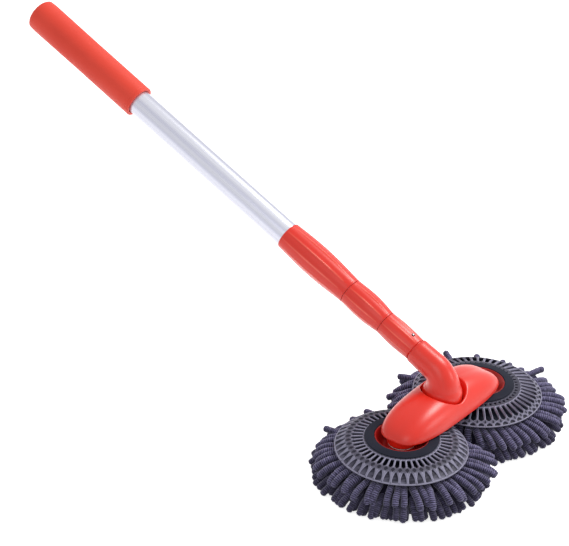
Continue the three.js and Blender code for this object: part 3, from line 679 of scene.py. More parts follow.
def domeHeight(size, spread, angle, inset=0):
    backShare = 0.5 + 0.5 * sin(angle)
    poleShare = max(0.0, -cos(angle))
    domePower, risePower = (
        blend(front, back, backShare) + more * poleShare
        for (front, back), more in zip((size["domePowers"], size["risePowers"]), size["shoulder"])
    )
    body = max(0.0, 1 - min(1.0, spread) ** domePower)
    return blend(size["low"], size["crown"] - inset, body ** (1 / risePower))


# distance from the middle to the plan outline in a direction
def outlineReach(size, angle, inset=0):
    power = size["outlinePower"]
    across = abs(cos(angle)) / (size["halfWidth"] - inset)
    along = abs(sin(angle)) / (size["halfLength"] - inset)
    return (across**power + along**power) ** (-1 / power)


# directions that share out both the outline's length and the full turn
def outlineTurns(size, fineSteps=3600, lengthShare=0.6):
    fine = [2 * pi * i / fineSteps for i in range(fineSteps + 1)]
    places = [Vector((cos(a), sin(a))) * outlineReach(size, a) for a in fine]
    lengths = [0.0]
    for before, after in zip(places, places[1:]):
        lengths.append(lengths[-1] + (after - before).length)
    weights = [lengthShare * length / lengths[-1] + (1 - lengthShare) * a / fine[-1]
               for length, a in zip(lengths, fine)]
    angles, k = [], 0
    for j in range(size["sides"]):
        target = j / size["sides"]
        while weights[k + 1] < target:
            k += 1
        angles.append(blend(fine[k], fine[k + 1], (target - weights[k]) / (weights[k + 1] - weights[k])))
    return angles


# from the well's floor up its wall, over the dome, down to the outline and back inside
def coverProfile(size, angle):
    reach, shift = outlineReach(size, angle), size["mouthShift"]
    floor, radius, low, edge = (size[key] for key in ("wellFloor", "wellRadius", "low", "lowerEdge"))
    footRound, rimRound = size["footRound"], size["rimRound"]
    mouth = shift * cos(angle) + sqrt(size["wellMouth"] ** 2 - (shift * sin(angle)) ** 2)
    slope = (mouth - radius) / (size["crown"] - floor - footRound)

    def wallRadius(height):
        return radius + slope * (height - floor - footRound)

    def topHeight(away):
        return domeHeight(size, away / reach, angle)

    # the rim is where the well's wall meets the dome, found by going back and forth between them
    rim = mouth
    for _ in range(size["rimTries"]):
        rim = wallRadius(topHeight(rim))
    wallTop, outer = topHeight(rim) - rimRound, rim + rimRound
    profile = [(0, floor)]
    for i in range(size["footSteps"] + 1):
        turn = pi / 2 * i / size["footSteps"]
        profile.append((radius - footRound * (1 - sin(turn)), floor + footRound * (1 - cos(turn))))
    for i in range(1, size["wallSteps"] + 1):
        height = blend(floor + footRound, wallTop, i / size["wallSteps"])
        profile.append((wallRadius(height), height))
    rimCorner, rimEnd = (rim, topHeight(rim)), (outer, topHeight(outer))
    profile += bendPoints((wallRadius(wallTop), wallTop), rimCorner, rimEnd, size["rimSteps"])[1:]
    for i in range(1, size["topSteps"]):
        share = blend(outer / reach, 1, 1 - (1 - i / size["topSteps"]) ** size["topGather"])
        profile.append((reach * share, max(topHeight(reach * share), low + edge)))
    profile += [(reach, low + edge), (reach - edge * edgeShare, low + edge * edgeShare), (reach - edge, low)]
    cupShare, undersideShare = size["cupShares"]
    inner, cup = outlineReach(size, angle, size["wall"]), radius + size["wall"]
    for i in range(size["insideSteps"] + 1):
        share = 1 - (1 - min(cup / inner, cupShare)) * i / size["insideSteps"]
        profile.append((inner * share, domeHeight(size, share, angle, size["wall"]) if i else low))
    underside = floor - size["wellFloorThick"]
    return profile + [(min(cup, inner * undersideShare), underside), (0, underside)]


def makeCover(size):
    angles = outlineTurns(size)
    points, rows = [], []
    for ring in zip(*(coverProfile(size, angle) for angle in angles)):
        if ring[0][0] == 0:
            rows.append([len(points)] * len(angles))
            points.append((0, 0, ring[0][1]))
        else:
            rows.append(rowOf(len(points), len(angles)))
            points += [polar(radius, angle, height) for angle, (radius, height) in zip(angles, ring)]
    newPiece("yoke_cover_shown", (points, skinRows(rows)), redGloss, "yoke", "yoke_cover",
             Matrix.Translation((yokeX, 0, 0)), 60)


makeCover(coverSizes)
print("yoke made")

headSpacing = 136.4
headEnds = {"front": -headSpacing / 2, "back": headSpacing / 2}


def headPiece(end, label, shape, material, node, sharp=50):
    place = Matrix.Translation((yokeX, headEnds[end], 0))
    name, body, replaced = f"{end}_{label}", f"{end}_head", f"{end}_{node}"
    return newPiece(name, shape, material, body, replaced, place, sharp)


# hub: a dish round the spindle's bearing, with a flange that carries the ring and the skirt
hubSizes = {
    "sides": 96, "low": 28.4, "boreRadius": 8.35, "bossRadius": 11.0, "bossTop": 38.0, "thrustRadius": 14.0,
    "floorTop": 36.0, "floorThick": 2.9, "floorRadius": 19.0,
    "rimRadius": 27.7, "rimTop": 45.7, "rimWall": 2.2, "lip": 0.6,
    "flangeRadius": 38.6, "flangeTop": 41.8, "flangeThick": 2.0, "flangeEdge": 41.35,
    "footOut": 1.5, "footUp": 0.6,  # the foot of the dish's slope
    "glintLow": 37.2, "glintOut": 0.2,  # where the bearing land's edge is painted pale as a glint
}


def makeHub(end, size):
    bore, boss, thrust, floor, rim, flange = (
        size[key + "Radius"] for key in ("bore", "boss", "thrust", "floor", "rim", "flange"))
    low, floorTop, rimTop, bossTop = (size[key] for key in ("low", "floorTop", "rimTop", "bossTop"))
    footOut, footUp = size["footOut"], size["footUp"]
    floorLow, flangeLow = floorTop - size["floorThick"], size["flangeTop"] - size["flangeThick"]
    outline = [
        (bore, low), (boss, low, 0.4), (boss, floorLow, 0.6), (floor, floorLow, 2.0),
        (rim - size["rimWall"], flangeLow, 1.0), (flange, flangeLow, 0.4),
        (flange, size["flangeEdge"], 0.2), (rim, size["flangeTop"], 0.5), (rim, rimTop, 0.3),
        (rim - size["lip"], rimTop, 0.3), (floor + footOut, floorTop + footUp, 4.5),
        (floor, floorTop, 1.5), (thrust, floorTop, 0.5),
        (thrust, bossTop, 0.3), (bore, bossTop), (bore, low),
    ]
    shape = turnedShape(roundedOutline(outline, 6), size["sides"])
    piece = headPiece(end, "hub_shown", shape, shadedRedDish, "hub")
    # painted shade: the flange lies in the shade under the skirt and takes the trim ring's dark slate
    piece.data.materials.append(slateRing)
    piece.data.materials.append(paintedGlintEdge)
    for face in piece.data.polygons:
        away = dist(face.center.xy, (yokeX * mm, headEnds[end] * mm)) / mm
        if away > rim:
            face.material_index = 1
        # painted highlight: the bearing land's edge takes a pale glint
        elif face.center.z / mm > size["glintLow"] and away < thrust + size["glintOut"]:
            face.material_index = 2


ringSizes = {
    "sides": 128, "inner": 28.2, "outer": 37.8,
    "low": 44.2, "innerTop": 46.2, "outerTop": 44.9, "bevel": 0.5,
}


def makeRing(end, size):
    inner, outer, bevel = size["inner"], size["outer"], size["bevel"]
    outline = [(inner, size["low"]), (outer, size["low"]), (outer, size["outerTop"], bevel),
               (inner, size["innerTop"], bevel), (inner, size["low"])]
    shape = turnedShape(roundedOutline(outline), size["sides"])
    headPiece(end, "ring_shown", shape, slateRing, "trim_ring")


# ribbed skirt: an annulus that turns down at its rim, with two rows of hollows between rounded ribs
skirtSizes = {
    "ribs": 48, "facets": 12,  # along the rim, for each rib
    "top": 43.9, "inner": 32.0, "rim": 67.9, "rimDrop": 11.0, "rimRound": 0.4, "rollSteps": 5,
    "shoulder": 51.2, "shoulderDrop": 2.2, "brow": 57.5, "browDrop": 3.4, "bend": 2.0,
    "innerThick": 1.8, "outerThick": 2.8, "rimThick": 1.0,
    "thickFrom": 40.0, "thickTo": 46.0, "thinFrom": 62.0,
    "radialSteps": 12, "leastStep": 0.25,  # of the sheets' borders
    "ribRound": 0.7,
    # a rib's rounded edge: its width and drop as shares of the rounding, and its share of the painted
    # highlight, which also lightens the hollows' shaded walls
    "edgeLevels": [(1.0, 0.0, 0.35), (0.45, 0.15, 0.82), (0.12, 0.5, 0.65), (0.0, 1.0, 0.45)],
    "bandReach": (3, 2),  # how far the band between the two rows reaches into them
    "diamondEdge": 0.1, "ribStop": 1,  # the painted highlight on the tops ends this far inside a diamond, and before a hollow's end
    # shares of the painted highlight: on dull tops, on the pocket floors' outer ends, on the ribs' middle
    # lines, round the rim and on edges
    "dullShine": 0.3, "floorShine": 0.22, "ribTopHighlight": 0.65, "rimShine": 0.6, "edgeShine": 0.1,
    # the wall that hangs under the skirt
    "wallRadius": 61.8, "wallThick": 0.9, "wallLow": 29.6, "wallSunk": 0.3,
    "joinGap": 0.02, "shortestEdge": 0.001, "sharpDegrees": 35,
}
skirtPatterns = {
    "front": {
        "bandShine": 0.55, "dullWithin": 0.0,
        "open": {"start": 39.5, "end": 51.8, "startShare": 0.66, "endShare": 0.7, "tip": 3.6},
        "pocket": {"start": 56.6, "end": 66.7, "share": 0.72, "deep": 2.3, "shallow": 0.7},
        "diamond": {"middle": 54.2, "reach": 3.8, "half": 2.45, "deep": 0.55, "slope": 0.5},
    },
    "back": {
        "bandShine": 0.8, "dullWithin": 45.0,
        "open": {"start": 45.4, "end": 62.6, "startShare": 0.62, "endShare": 0.72, "tip": 1.8},
        "pocket": {"start": 63.7, "end": 66.9, "share": 0.7, "deep": 2.4, "shallow": 1.6},
        "diamond": {"middle": 63.4, "reach": 1.7, "half": 1.1, "deep": 0.5, "slope": 0.3},
        "notch": {"start": 39.0, "end": 42.8, "startShare": 0.56, "endShare": 0.46, "tip": 1.8},
    },
}
ribPitch = 2 * pi / skirtSizes["ribs"]


# height of the skirt's upper face at a radius, a smooth line through its three slopes
def skirtHeight(radius, samples=4):
    s = skirtSizes
    stops = [(s["inner"], 0), (s["shoulder"], s["shoulderDrop"]), (s["brow"], s["browDrop"]),
             (s["rim"], s["rimDrop"])]

    def broken(r):
        for (r0, d0), (r1, d1) in zip(stops, stops[1:]):
            if r <= r1 or r1 == s["rim"]:
                return d0 + (d1 - d0) * (r - r0) / (r1 - r0)

    near = [broken(radius + s["bend"] * k / samples) for k in range(-samples, samples + 1)]
    drop = sum(near) / len(near)
    return s["top"] - max(0.0, drop)


def skirtThickness(radius):
    s = skirtSizes
    thickening = clamp((radius - s["thickFrom"]) / (s["thickTo"] - s["thickFrom"]))
    thinning = max(0.0, (radius - s["thinFrom"]) / (s["rim"] - s["thinFrom"]))
    thinned = (s["rimThick"] - s["outerThick"]) * thinning
    return blend(s["innerThick"], s["outerThick"], thickening) + thinned


def slotHalf(share, radius):
    return share * pi / skirtSizes["ribs"] * radius


# Outlines give half the width of a hollow at each radius, from its inner end to its outer end.
def openOutline(slot, corner=0.4, steps=5, tipPower=1.6):
    startHalf = slotHalf(slot["startShare"], slot["start"])
    endHalf = slotHalf(slot["endShare"], slot["end"] - slot["tip"])
    outline = [(startHalf - corner * (1 - sin(turn)), slot["start"] + corner * (1 - cos(turn)))
               for turn in (0, pi / 4, pi / 2)]
    for i in range(steps + 1):
        t = i / steps
        outline.append((endHalf * (1 - t**tipPower), slot["end"] - slot["tip"] * (1 - t)))
    return outline


# A pocket starts in a point and is widest at a share of its length. The powers shape its sides.
def pocketOutline(slot, shares=(0.05, 0.13, 0.24, 0.38, 0.54, 0.7), powers=(1.8, 0.8), corner=0.5):
    outline = [(0.0, slot["start"])]
    for share in shares:
        swell = (1 - (1 - share / shares[-1]) ** powers[0]) ** powers[1]
        radius = blend(slot["start"], slot["end"], share)
        outline.append((slotHalf(slot["share"], radius) * swell, radius))
    half = slotHalf(slot["share"], slot["end"])
    for turn in (0, pi / 4, pi / 2):
        outline.append((half - corner * (1 - cos(turn)), slot["end"] - corner * (1 - sin(turn))))
    return outline


# the closed loop of an outline, widened all round, as (angle, radius) points
def slotLoop(outline, grow=0.0):
    loop = list(outline) + [(-x, r) for x, r in reversed(outline) if x > 1e-6]
    grown = []
    for i, (x, r) in enumerate(loop):
        along = Vector(loop[(i + 1) % len(loop)]) - Vector(loop[i - 1])
        spot = Vector((x, r)) + Vector((along.y, -along.x)).normalized() * grow
        grown.append((spot.x / spot.y, spot.y))
    return grown


def insideLoop(p, loop):
    hit = False
    for a, b in zip(loop, loop[1:] + loop[:1]):
        if (a.y > p.y) != (b.y > p.y) and p.x < (b.x - a.x) * (p.y - a.y) / (b.y - a.y) + a.x:
            hit = not hit
    return hit


# a flat sheet of triangles inside the first loop and outside the others
def triangulate(loops, lines=()):
    coords, edges, borders, scale = [], [], [], skirtSizes["shoulder"]
    for line, closed in [(loop, True) for loop in loops] + [(line, False) for line in lines]:
        first, flat = len(coords), [Vector((angle * scale, radius)) for angle, radius in line]
        coords += flat
        edges += [(first + i, first + (i + 1) % len(flat)) for i in range(len(flat) - (0 if closed else 1))]
        if closed:
            borders.append(flat)
    spots, _, triangles = delaunay_2d_cdt(coords, edges, [], 0, 1e-4)[:3]
    kept = []
    for triangle in triangles:
        middle = sum((spots[i] for i in triangle), Vector((0, 0))) / 3
        if insideLoop(middle, borders[0]) and not any(insideLoop(middle, hole) for hole in borders[1:]):
            kept.append(triangle)
    return [(p.x / scale, p.y) for p in spots], kept


# how far a point lies inside the diamond on the nearest rib's middle line
def diamondInset(diamond, angle, radius):
    across = (ribPitch / 2 - abs(angle)) * radius / diamond["half"]
    share = 1 - across - abs(radius - diamond["middle"]) / diamond["reach"]
    return share * diamond["half"] * diamond["reach"] / hypot(diamond["half"], diamond["reach"])


# the two edges of the half diamonds on both sides of a rib pitch
def diamondLines(diamond):
    reach, half = diamond["reach"], diamond["half"]
    lines = []
    for side in (-1, 1):
        for inset in (0.0, diamond["slope"]):
            share = 1 - inset * hypot(half, reach) / (half * reach)
            line = []
            for t in (-1, -0.5, 0, 0.5, 1):
                radius = diamond["middle"] + reach * share * t
                line.append((side * (ribPitch / 2 - half * share * (1 - abs(t)) / radius), radius))
            lines.append(line)
    return lines


# the border of one rib pitch, from the middle line of a rib to the next one's
def pitchBorder(size, diamond, rimFlat):
    half, facets, middle, reach = ribPitch / 2, size["facets"], diamond["middle"], diamond["reach"]
    step = (rimFlat - size["inner"]) / size["radialSteps"]
    inset = diamond["slope"] * hypot(diamond["half"], reach) / diamond["half"]
    stops = {size["inner"], rimFlat, middle - reach, middle, middle + reach, middle - reach + inset,
             middle + reach - inset, *(size["inner"] + step * i for i in range(1, size["radialSteps"]))}
    radii = []
    for radius in sorted(stops):
        if not radii or radius - radii[-1] > size["leastStep"]:
            radii.append(radius)
    outer = [(-half + ribPitch * j / facets, rimFlat) for j in range(1, facets)]
    inner = [(half - ribPitch * j / facets, size["inner"]) for j in range(1, facets)]
    return [(half, r) for r in radii] + outer[::-1] + [(-half, r) for r in reversed(radii)] + inner[::-1]


def makeSkirt(end, size):
    pattern = skirtPatterns[end]
    diamond, rounding, half = pattern["diamond"], size["ribRound"], ribPitch / 2
    rimFlat = size["rim"] - size["rimRound"]
    points, faces, crowns = [], [], []
    hollows = [(openOutline(pattern["open"]), None), (pocketOutline(pattern["pocket"]), pattern["pocket"])]
    if "notch" in pattern:
        hollows.append((openOutline(pattern["notch"]), None))

    def recess(angle, radius):
        return diamond["deep"] * clamp(diamondInset(diamond, angle, radius) / diamond["slope"])

    # how far out a radius lies in a hollow, and how deep the hollow is there
    def slotShare(slot, radius):
        return clamp((radius - slot["start"]) / (slot["end"] - slot["start"]))

    def depthAt(slot, radius):
        if slot is None:
            return skirtThickness(radius)
        return blend(slot["deep"], slot["shallow"], slotShare(slot, radius))

    bandIn, bandOut = size["bandReach"]

    # painted highlight: the band between the two rows gets less of it than the ribs
    def ribShine(radius):
        if radius < pattern["dullWithin"]:
            return size["dullShine"]
        inBand = pattern["open"]["end"] - bandIn < radius < pattern["pocket"]["start"] + bandOut
        return pattern["bandShine"] if inBand else 1.0

    # painted highlight on the top face: on the ribs' middle lines, less on the rest, none inside the diamonds
    def highlightOnTop(angle, radius):
        if diamondInset(diamond, angle, radius) > size["diamondEdge"]:
            return 0.0
        if abs(abs(angle) - half) < 1e-4:
            rows = (pattern["open"], pattern["pocket"])
            onRib = any(s["start"] < radius < s["end"] - size["ribStop"] for s in rows)
            return size["ribTopHighlight"] if onRib else size["edgeShine"]
        return size["dullShine"] * ribShine(radius)

    def addTurned(sheet, heightAt, crownAt, flip=False):
        spots, triangles = sheet
        for rib in range(size["ribs"]):
            first = len(points)
            for angle, radius in spots:
                points.append(polar(radius, angle + rib * ribPitch, heightAt(angle, radius)))
                crowns.append(crownAt(angle, radius))
            for triangle in triangles:
                face = [first + i for i in triangle]
                faces.append(face[::-1] if flip else face)

    border = pitchBorder(size, diamond, rimFlat)
    tops = [slotLoop(outline, rounding) for outline, _ in hollows]
    lows = [slotLoop(outline) for outline, slot in hollows if slot is None]
    addTurned(triangulate([border, *tops], diamondLines(diamond)),
              lambda a, r: skirtHeight(r) - recess(a, r), highlightOnTop)
    addTurned(triangulate([border, *lows]), lambda a, r: skirtHeight(r) - skirtThickness(r),
              lambda a, r: 0.0, True)
    for outline, slot in hollows:
        loops = [(slotLoop(outline, rounding * grow), rounding * drop, crown)
                 for grow, drop, crown in size["edgeLevels"]]
        loops.append((slotLoop(outline), None, 0.0))
        for rib in range(size["ribs"]):
            rows = []
            for loop, drop, crown in loops:
                rows.append(rowOf(len(points), len(loop)))
                for angle, radius in loop:
                    deep = depthAt(slot, radius)
                    lower = deep if drop is None else min(drop, deep)
                    lower = recess(angle, radius) if drop == 0 else lower
                    points.append(polar(radius, angle + rib * ribPitch, skirtHeight(radius) - lower))
                    crowns.append(crown * ribShine(radius))
            faces.extend(skinRows(rows))
        # painted light: each pocket's floor grows paler towards its outer end
        if slot is not None:
            addTurned(triangulate([slotLoop(outline)]), lambda a, r: skirtHeight(r) - depthAt(slot, r),
                      lambda a, r: size["floorShine"] * slotShare(slot, r))

    # (radius, height, crown) round the rolled rim, the plain inner edge and the hanging wall, where crown is
    # the share of painted highlight
    rimTop = skirtHeight(rimFlat)
    rimLow = rimTop - skirtThickness(rimFlat)
    rolls = [pi / 2 * i / size["rollSteps"] for i in range(size["rollSteps"] + 1)]
    rimRound, edgeShine = size["rimRound"], size["edgeShine"]
    rim = [(rimFlat + rimRound * sin(turn), rimTop - rimRound * (1 - cos(turn)), size["rimShine"])
           for turn in rolls] + [(size["rim"], rimLow, edgeShine), (rimFlat, rimLow, 0.0)]
    innerTop = skirtHeight(size["inner"])
    inner = [(size["inner"], innerTop - drop, edgeShine) for drop in (size["innerThick"], 0.0)]
    wallIn, wallOut, wallLow = size["wallRadius"], size["wallRadius"] + size["wallThick"], size["wallLow"]
    wallTop = skirtHeight(wallOut) - skirtThickness(wallOut) + size["wallSunk"]
    wall = [(radius, height, 0.0) for radius, height in (
        (wallIn, wallTop), (wallOut, wallTop), (wallOut, wallLow), (wallIn, wallLow), (wallIn, wallTop))]
    sides = size["ribs"] * size["facets"]
    for outline in (rim, inner, wall):
        rows = []
        for radius, height, crown in outline:
            rows.append(rowOf(len(points), sides))
            points += [polar(radius, turn, height) for turn in evenTurns(sides, -half)]
            crowns += [crown] * sides
        faces += [face[::-1] for face in skinRows(rows)]

    piece = headPiece(end, "skirt_shown", (points, faces), greySkirt, "skirt",
                      size["sharpDegrees"])
    paintPoints(piece, "crown", crowns)
    joinSeams(piece, size)
    print(end, "skirt:", len(piece.data.polygons), "faces")


# joins the points that neighbouring stretches of a mesh share
def joinSeams(piece, size):
    joined = bmesh.new()
    joined.from_mesh(piece.data)
    bmesh.ops.remove_doubles(joined, verts=joined.verts, dist=size["joinGap"] * mm)
    bmesh.ops.dissolve_degenerate(joined, edges=joined.edges, dist=size["shortestEdge"] * mm)
    bmesh.ops.recalc_face_normals(joined, faces=joined.faces)
    joined.to_mesh(piece.data)
    joined.free()
    piece.data.shade_smooth()
    piece.data.set_sharp_from_angle(angle=radians(size["sharpDegrees"]))


# chenille pad: rows of soft fingers, each with its loops as fine rings of knobs
padSizes = {
    "backing": [(0, 28.1), (58.0, 28.1, 1.0), (58.0, 20.0, 2.0), (50.0, 12.0, 2.0), (0, 12.0)],
    # the cloth between the fingers' roots, dark with the valleys' painted shade
    "underlay": [(0, 27.1), (58, 27.5), (62, 23.5), (74, 12.0), (80, 7.0), (78, 5.5), (50, 6.5), (0, 7.5)],
    "backingSides": 64,
    "fingerRadius": 3.45, "radiusSpread": (0.94, 1.06), "rootRadius": 2.3, "rootSwell": 5.0,
    "swellPower": 0.7, "leastRings": 6,
    "loopPitch": 1.9, "loopHeight": 0.85, "loopSlip": 0.42,
    "crowns": ((0.0, 0.15), (0.65, 1.0)),  # of the rings between the loops and of the loops
    "flankFrom": 0.9, "flankShade": 0.85,
    "tipPower": 2.2, "leastRadius": 0.35,  # of the rounding at a finger's tip
    "knobStep": (1.7, 1.3),  # through the noise that makes the knobs, round a ring and from ring to ring
    # least value and share of a knob's height that its ring's crown and the noise give
    "knobCrown": (0.1, 0.75), "knobNoise": (0.45, 0.8), "plainKnob": 0.5, "knobBase": 0.3,
    "pathSteps": 40, "sides": 12, "plainSides": 8, "fineRows": 2,
    "middleRoom": 64.4,  # from a head's axis, how far a finger may reach towards the other head
    "splayDegrees": 37.0,  # the fingers lie flatter and reach further out on this side and the opposite one
    "splay": {"front": (5.5, 4.5), "back": (4.5, 2.5)},  # the share on both sides and on one
    "sweep": {"front": 0.0, "back": 5.0},  # how far a tip lies round from its root
    "lowestLift": -0.2, "groundShare": 0.6,  # of a row's lift, and of a finger's radius above the ground
    "turnSpread": 0.17, "tipRise": (-0.4, 1), "tipRiseShare": 0.9, "bendShare": 0.6,
    # the first point of a finger's path, sunk behind its root, and the two that it is drawn towards
    "sunk": (2, 0.5),
    "near": {"reach": 0.38, "arch": 0.45, "sway": 0.2},
    "far": {"reach": 0.8, "rise": 0.55, "arch": 0.5, "sway": 0.7},
    # a tip that is drawn in rises with what it loses, up to a limit, and its root stays further in
    "drawnRise": 0.1, "mostDrawnRise": 7.0, "drawnRoot": 1,
    "strayTone": 0.1, "strayShares": (-0.1, 0.35, 0.7, 1.0), "strayRises": (0.0, 1.0, 1.0, 0.0),
    "seeds": {"front": 41, "back": 48},
}
fingerColumns = ("count", "turn", "root", "tip", "arch", "sway", "spread", "splay", "lift", "toneAndShade")
fingerRows = [
    # root and tip as radius and height, and the arch of the path above a straight line; the last column is a
    # random tone, and painted shade that darkens the low second and third rows
    (50, 0.0, (60, 24.6), (86, 12.0), 4.5, 3.2, 2.6, 1.0, 3.0, (0.0, 0.15)),
    (60, 0.5, (58, 16.5), (90, 2.6), 1.2, 2.8, 2.0, 0.15, 0.5, (0.65, 0.9)),
    (60, 0.0, (50, 14.5), (87.5, 2.4), 1.5, 2.5, 2.0, 0.1, 0.0, (0.8, 1.0)),
    (32, 0.5, (41, 13.5), (58, 4.0), 0.5, 2.0, 1.5, 0.0, 0.0, (0.0, 0.25)),
    (24, 0.0, (31, 13.5), (44, 4.0), 0.5, 2.0, 1.5, 0.0, 0.0, (0.0, 0.25)),
    (16, 0.5, (20, 13.5), (30, 4.0), 0.3, 2.0, 1.5, 0.0, 0.0, (0.0, 0.25)),
    (8, 0.0, (10, 13.5), (16, 4.0), 0.2, 1.5, 1.0, 0.0, 0.0, (0.0, 0.25)),
]
# single fingers that stand out of their row: root and tip as radius, direction in degrees and height
strayFingers = {
    "front": [
        ((60, -167, 25.5), (88, -170.5, 24)), ((60, 144, 26), (83, 153, 24.5)),
        ((63, 160, 25), (80, 167, 22)),
    ],
    "back": [
        ((60, -171, 24.5), (92, -169.5, 21.5)), ((59, -150, 24), (95, -149, 14)),
        ((59, -138, 23), (94, -138, 13)), ((62, 147, 25.5), (83, 149, 33.0)),
        ((62, 124, 25.5), (76, 124, 31)), ((60, 101, 25.5), (74, 101, 31)), ((60, 94, 25.5), (73, 94, 31)),
        ((61, 88, 25), (82, 86, 23)), ((62, 76, 25.5), (96, 75.5, 27)),
    ],
}


def bezier(controls, t):
    a, b, c, d = controls
    u = 1 - t
    return a * u**3 + b * 3 * u * u * t + c * 3 * u * t * t + d * t**3


# one finger along a path, its rings set out from the root to the rounded tip
def addFinger(store, controls, size, toneAndShade, rng, fine):
    steps = size["pathSteps"]
    line = [bezier(controls, i / steps) for i in range(steps + 1)]
    lengths = [0.0]
    for before, after in zip(line, line[1:]):
        lengths.append(lengths[-1] + (after - before).length)
    total = lengths[-1]
    count = max(size["leastRings"], round(total / (size["loopPitch"] / 2 if fine else size["loopPitch"])))
    sides = size["sides"] if fine else size["plainSides"]
    radius = size["fingerRadius"] * rng.uniform(*size["radiusSpread"])
    phase = rng.uniform(0, 100)
    stepRound, stepAlong = size["knobStep"]
    (leastCrown, crownShare), (leastNoise, noiseShare) = size["knobCrown"], size["knobNoise"]
    side, k = None, 0
    for i in range(count + 1):
        place = total * i / count
        while k < steps - 1 and lengths[k + 1] < place:
            k += 1
        centre = line[k].lerp(line[k + 1], (place - lengths[k]) / max(1e-6, lengths[k + 1] - lengths[k]))
        way = (line[k + 1] - line[k]).normalized()
        if side is None:
            side = way.cross(Vector((0, 0, 1))).normalized()
        side = (side - way * side.dot(way)).normalized()
        over = way.cross(side)
        swelling = min(1.0, place / size["rootSwell"]) ** size["swellPower"]
        swell = blend(size["rootRadius"], radius, swelling)
        left = total - place
        if left < radius:
            swell *= sqrt(max(0.0, 1 - ((radius - left) / radius) ** size["tipPower"]))
        swell = max(swell, size["leastRadius"])
        crown = rng.uniform(*size["crowns"][i % 2])
        slip = size["loopSlip"] * total / count if 1 < i < count - 1 else 0.0
        for j in range(sides):
            angle = 2 * pi * (j + 0.5 * (i % 2)) / sides
            bump = 0.5 + 0.5 * noise.noise(Vector((j * stepRound + phase, i * stepAlong, phase)))
            knob = size["plainKnob"] * bump
            if fine:
                knob = (crown * crownShare + leastCrown) * (leastNoise + noiseShare * bump)
            r = swell + size["loopHeight"] * (knob - size["knobBase"]) * min(1.0, swell / radius)
            out = side * cos(angle) + over * sin(angle)
            store["points"].append(centre + out * r + way * (slip * rng.uniform(-1, 1)))
            store["heights"].append(min(1.0, knob))
            # painted shade: flanks and undersides are darkened, as they lie in the shade of the neighbours
            flank = clamp((size["flankFrom"] - out.z) / size["flankFrom"])
            store["toneAndShadeValues"].append(toneAndShade + (1 - toneAndShade) * size["flankShade"] * flank)
    first = len(store["points"]) - (count + 1) * sides
    rows = [rowOf(first + i * sides, sides) for i in range(count + 1)]
    store["faces"] += skinRows(rows) + [rows[0][::-1], rows[-1]]


def strayPath(size, root, tip):
    path = []
    for share, rise in zip(size["strayShares"], size["strayRises"]):
        radius, turn, height = (blend(first, last, share) for first, last in zip(root, tip))
        path.append(Vector(polar(radius, radians(turn), height + rise)))
    return path


# the path of one finger of a row, drawn in where it would reach into the other head's pad
def rowPath(end, row, number, i, size, rng):
    angle = 2 * pi * (i + row["turn"] + rng.uniform(-1, 1) * size["turnSpread"]) / row["count"]
    (rootR, rootZ), (tipR, tipZ), arch = row["root"], row["tip"], row["arch"]
    aside = angle - radians(size["splayDegrees"])
    both, one = size["splay"][end]
    tipR += rng.uniform(-1, 1) * row["spread"]
    tipR += row["splay"] * (both * cos(2 * aside) + one * cos(aside))
    tipZ += rng.uniform(*size["tipRise"]) * row["spread"] * size["tipRiseShare"]
    tipZ += row["lift"] * max(size["lowestLift"], cos(aside))
    sway = radians(size["sweep"][end] + rng.uniform(-1, 1) * row["sway"])
    bend = radians(rng.uniform(-1, 1) * row["sway"] * size["bendShare"])
    facing = sin(angle) * -copysign(1, headEnds[end])
    if facing > 0:
        limit = size["middleRoom"] / facing
        rootR = limit - size["drawnRoot"] if limit < rootR else rootR
        if tipR > limit:
            rise = min(size["mostDrawnRise"], (tipR - limit) * size["drawnRise"])
            tipZ += rise if number < size["fineRows"] else 0
            tipR = limit
    tipZ = max(tipZ, size["fingerRadius"] * size["groundShare"])
    reach, near, far, (sunkBack, sunkUp) = tipR - rootR, size["near"], size["far"], size["sunk"]
    farZ = tipZ + (rootZ - tipZ) * far["rise"] + arch * far["arch"]
    return [Vector(polar(radius, angle + turn, height)) for radius, height, turn in (
        (rootR - sunkBack, rootZ + sunkUp, 0.0),
        (rootR + reach * near["reach"], rootZ + arch * near["arch"], sway * near["sway"] + bend),
        (rootR + reach * far["reach"], farZ, sway * far["sway"] - bend),
        (tipR, tipZ, sway),
    )]


def makePad(end, size):
    rng = random.Random(size["seeds"][end])
    store = {"points": [], "faces": [], "heights": [], "toneAndShadeValues": []}
    # backing and cloth end at the same line as the fingers
    room, side = size["middleRoom"], -copysign(1, headEnds[end])
    for outline in (size["backing"], size["underlay"]):
        first = len(store["points"])
        points, faces = turnedShape(roundedOutline(outline), size["backingSides"])
        store["points"] += [Vector((x, side * min(side * y, room), z)) for x, y, z in points]
        store["faces"] += [[first + i for i in face] for face in faces]
        # a loop height of 0 gives backing and cloth the valleys' painted shade
        store["heights"] += [0.0] * len(points)
        store["toneAndShadeValues"] += [0.0] * len(points)
    for number, values in enumerate(fingerRows):
        row = dict(zip(fingerColumns, values))
        for i in range(row["count"]):
            path = rowPath(end, row, number, i, size, rng)
            addFinger(store, path, size, rng.uniform(*row["toneAndShade"]), rng, number < size["fineRows"])
    for root, tip in strayFingers[end]:
        addFinger(store, strayPath(size, root, tip), size, size["strayTone"], rng, True)
    shape = (store["points"], store["faces"])
    piece = headPiece(end, "pad_fingers", shape, chenillePile, "pad", 180)
    paintPoints(piece, "loopHeight", store["heights"])
    paintPoints(piece, "fingerToneAndShade", store["toneAndShadeValues"])
    print(end, "pad:", len(piece.data.polygons), "faces")


for end in headEnds:
    makeHub(end, hubSizes)
    makeRing(end, ringSizes)
    makeSkirt(end, skirtSizes)
    makePad(end, padSizes)
print("heads made")

